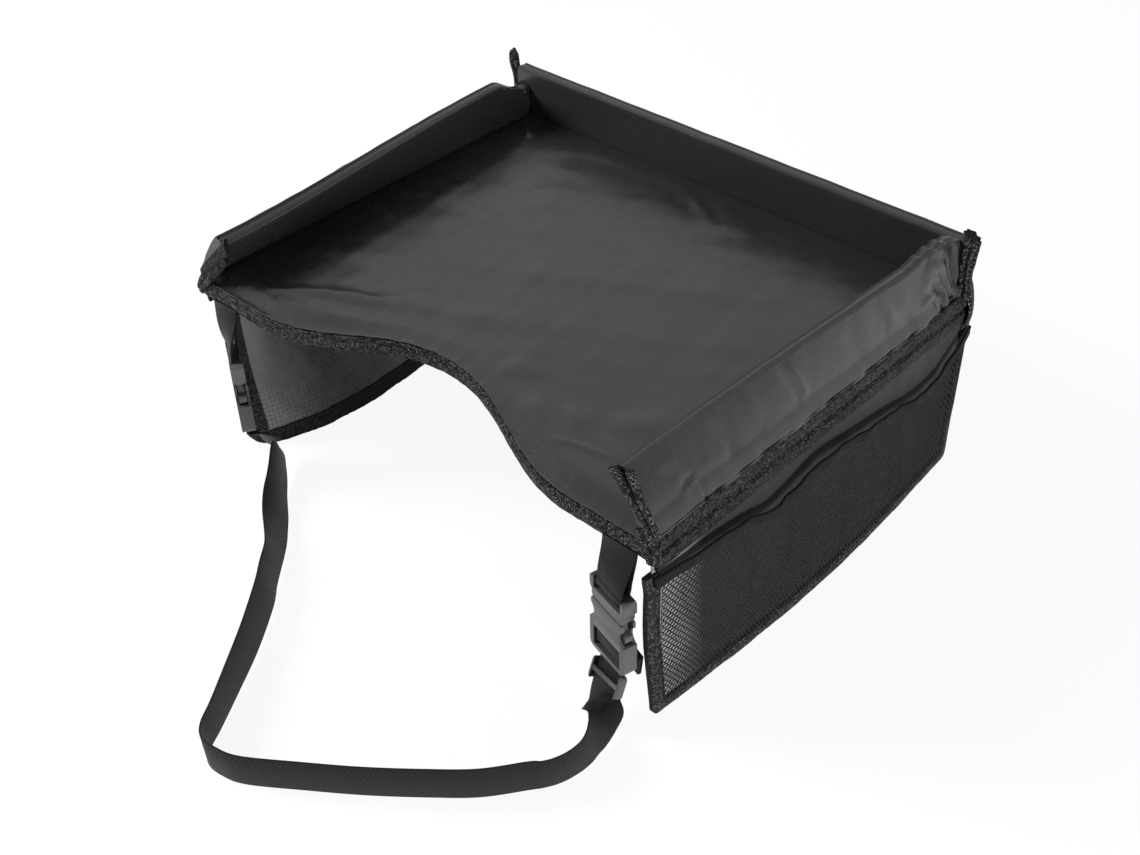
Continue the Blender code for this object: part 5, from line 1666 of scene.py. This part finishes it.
class LooksOperator(bpy.types.Operator):
    """Make the materials of the tray table."""

    bl_idname = "tray_table.looks"
    bl_label = "Materials"

    def execute(self, context):
        colours = context.scene.tray_colours
        weave = context.scene.tray_sizes.weave
        nylon = tuple(colours.nylon)
        # Painted light on the side panels: the right panel's nylon is painted a little paler than the
        # tray's, with a painted sheen towards its front edge; the left panel's nylon, seen from its inner
        # side, is painted far paler, with painted light through its net in pale cells low down.
        front = (ORIGIN.y - 0.150, 0.034, 7.5)
        make_nylon("coated_nylon", nylon, weave, 0.26)
        make_nylon("panel_nylon", tint(nylon, 1.3), weave, 0.55, painted_sheen=front, specular=0.12)
        make_nylon("painted_lit_panel_nylon", tint(nylon, 5.2), weave, 0.26, light_through_net=0.4)
        make_nylon("nylon_lining", tuple(colours.lining), weave, 0.55)
        # Each tape's bright colour is its painted glints. The second tape is the same grosgrain painted at
        # half its colour with dimmer glints, as painted shade, for the side rims and the left wall's end;
        # the third, on the panels' edges, has dimmer painted glints, as painted shade.
        for name, share, bright, rib, fleck in (
            ("grosgrain_tape", 1.0, "#737377", 1.2, 0.9), ("grosgrain_painted_shade", 0.5, "#55555a", 1.0, 0.8),
            ("border_tape_painted_shade", 1.0, "#58585c", 1.2, 0.9), ("elastic_tape", 1.0, "#202022", 0.9, 0.8),
        ):
            make_tape(name, tint(colours.tape, share), linear(bright), rib * MM, fleck * MM)
        make_grained(
            "polyester_net", tuple(colours.net), (0.75, 0.12), (900.0, 2.0), (0.4, 1.8), (0.5, 0.2 * MM),
        )
        make_webbing("polypropylene_webbing", tuple(colours.webbing))
        make_plastic("acetal_plastic", tuple(colours.plastic))
        make_grained(
            "foam_board", linear("#4a4a4c"), (0.9, 0.3), 1.1 * MM, (0.7, 1.2), (0.4, 0.3 * MM),
        )
        make_grained("sewing_thread", linear("#1c1c1d"), (0.5, 0.5), (2200.0, 1.0), (0.6, 1.6))
        return {"FINISHED"}


class StageOperator(bpy.types.Operator):
    """Add the pale floor, the soft lamps and the camera at the photograph's viewing angle."""

    bl_idname = "tray_table.stage"
    bl_label = "Stage"

    def execute(self, context):
        self.floor(tuple(context.scene.tray_colours.floor))
        self.world()
        for lamp in LAMPS:
            self.lamp(*lamp)
        self.camera()
        context.scene.view_settings.view_transform = "Standard"
        return {"FINISHED"}

    def place(self, name, data):
        """A new object of the stage."""
        made = bpy.data.objects.new(name, data)
        bpy.context.scene.collection.objects.link(made)
        return made

    def floor(self, colour):
        """A wide pale floor, white to the camera but for the object's soft shadow."""
        mesh = bpy.data.meshes.new("studio_floor")
        corners = ((-1, -1), (1, -1), (1, 1), (-1, 1))
        verts = [(x * FLOOR_REACH, y * FLOOR_REACH, -FLOOR_DROP) for x, y in corners]
        mesh.from_pydata(verts, [], [(0, 1, 2, 3)])
        made = self.place("studio_floor", mesh)
        look = bpy.data.materials.new("matt_paper")
        look.use_nodes = True
        tree = look.node_tree
        shader = tree.nodes["Principled BSDF"]
        shader.inputs["Base Color"].default_value = (*colour, 1)
        shader.inputs["Roughness"].default_value = PAPER_ROUGHNESS
        path = add_node(tree, "LightPath").outputs
        seen = combine(tree, "MAXIMUM", path["Is Camera Ray"], path["Is Glossy Ray"])
        seen = combine(tree, "MAXIMUM", seen, path["Is Transmission Ray"])
        share = add_node(tree, "Math", {"operation": "MULTIPLY"}, i0=seen)
        share.inputs[1].default_value = PAPER_WHITE
        white = add_node(tree, "Emission", {"Color": (1, 1, 1, 1), "Strength": 1.0})
        mix = add_node(tree, "MixShader", i0=share, i1=shader, i2=white)
        feed(tree, tree.nodes["Material Output"], Surface=mix)
        mesh.materials.append(look)

    def world(self):
        """A white room: soft light that grows towards the ceiling, and white to the camera."""
        world = bpy.data.worlds.new("white_room")
        world.use_nodes = True
        tree = world.node_tree
        plain = tree.nodes["Background"]
        plain.inputs["Color"].default_value = (1, 1, 1, 1)
        plain.inputs["Strength"].default_value = ROOM_LIGHT
        way = add_node(tree, "TexCoord").outputs["Generated"]
        rise = add_node(tree, "VectorMath", {"operation": "DOT_PRODUCT"}, i0=way)
        rise.inputs[1].default_value = ROOM_UP
        glow = spread(tree, rise.outputs["Value"], -0.2, 1.0, *ROOM_GLOW)
        room = add_node(tree, "Background", {"Color": (1, 1, 1, 1)}, Strength=glow)
        bright = add_node(tree, "Background", {"Color": (1, 1, 1, 1), "Strength": 1.0})
        path = add_node(tree, "LightPath").outputs
        mix = add_node(tree, "MixShader", i0=path["Is Glossy Ray"], i1=plain, i2=room)
        mix = add_node(tree, "MixShader", i0=path["Is Camera Ray"], i1=mix, i2=bright)
        feed(tree, tree.nodes["World Output"], Surface=mix)
        bpy.context.scene.world = world

    def lamp(self, name, place, size, power):
        """A large soft lamp that looks at the tray."""
        light = bpy.data.lights.new(name, "AREA")
        light.shape = "DISK"
        light.size = size
        light.energy = power
        made = self.place(name, light)
        made.location = Vector(place)
        made.visible_camera = False
        made.visible_glossy = False
        made.rotation_mode = "QUATERNION"
        made.rotation_quaternion = (Vector(place) - Vector(LAMP_AIM)).to_track_quat("Z", "Y")

    def camera(self):
        """The camera where the photograph was taken from."""
        camera = bpy.data.cameras.new("photo_camera")
        camera.sensor_width = SENSOR_MM
        camera.lens = CAMERA_LENS_MM
        camera.clip_start, camera.clip_end = CAMERA_CLIP
        made = self.place("photo_camera", camera)
        az, el, roll = CAMERA_AZIMUTH, CAMERA_ELEVATION, CAMERA_ROLL
        back = Vector((math.sin(az) * math.cos(el), -math.cos(az) * math.cos(el), math.sin(el)))
        right = Vector((math.cos(az), math.sin(az), 0))
        up = back.cross(right)
        turned_right = right * math.cos(roll) + up * math.sin(roll)
        turned_up = up * math.cos(roll) - right * math.sin(roll)
        turn = Matrix((turned_right, turned_up, back)).transposed()
        made.matrix_world = Matrix.Translation(Vector(CAMERA_PLACE) + ORIGIN) @ turn.to_4x4()
        bpy.context.scene.camera = made


STEPS = (
    LooksOperator, StageOperator, TrayFloorOperator, WallsOperator, TapesOperator,
    PanelsOperator, BucklesOperator, WebbingOperator, BoardsOperator,
)


class TrayTablePanel(bpy.types.Panel):
    """The steps of the tray table's dressing, in the 3D view's sidebar."""

    bl_idname = "VIEW3D_PT_tray_table"
    bl_label = "Tray table"
    bl_space_type = "VIEW_3D"
    bl_region_type = "UI"
    bl_category = "Tray table"

    def draw(self, context):
        for owner in (context.scene.tray_sizes, context.scene.tray_colours):
            for name in owner.__annotations__:
                self.layout.prop(owner, name)
        for step in STEPS:
            self.layout.operator(step.bl_idname)


CLASSES = (TrayTableSizes, TrayTableColours, *STEPS, TrayTablePanel)


def register():
    """Register the classes and give each scene its sizes and colours."""
    for item in CLASSES:
        bpy.utils.register_class(item)
    bpy.types.Scene.tray_sizes = PointerProperty(type=TrayTableSizes)
    bpy.types.Scene.tray_colours = PointerProperty(type=TrayTableColours)


def unregister():
    """Take the classes and the scene's values away again."""
    del bpy.types.Scene.tray_colours
    del bpy.types.Scene.tray_sizes
    for item in reversed(CLASSES):
        bpy.utils.unregister_class(item)


def main():
    """Dress the frame step by step."""
    register()
    for step in STEPS:
        group, name = step.bl_idname.split(".")
        getattr(getattr(bpy.ops, group), name)()


if __name__ == "__main__":
    main()
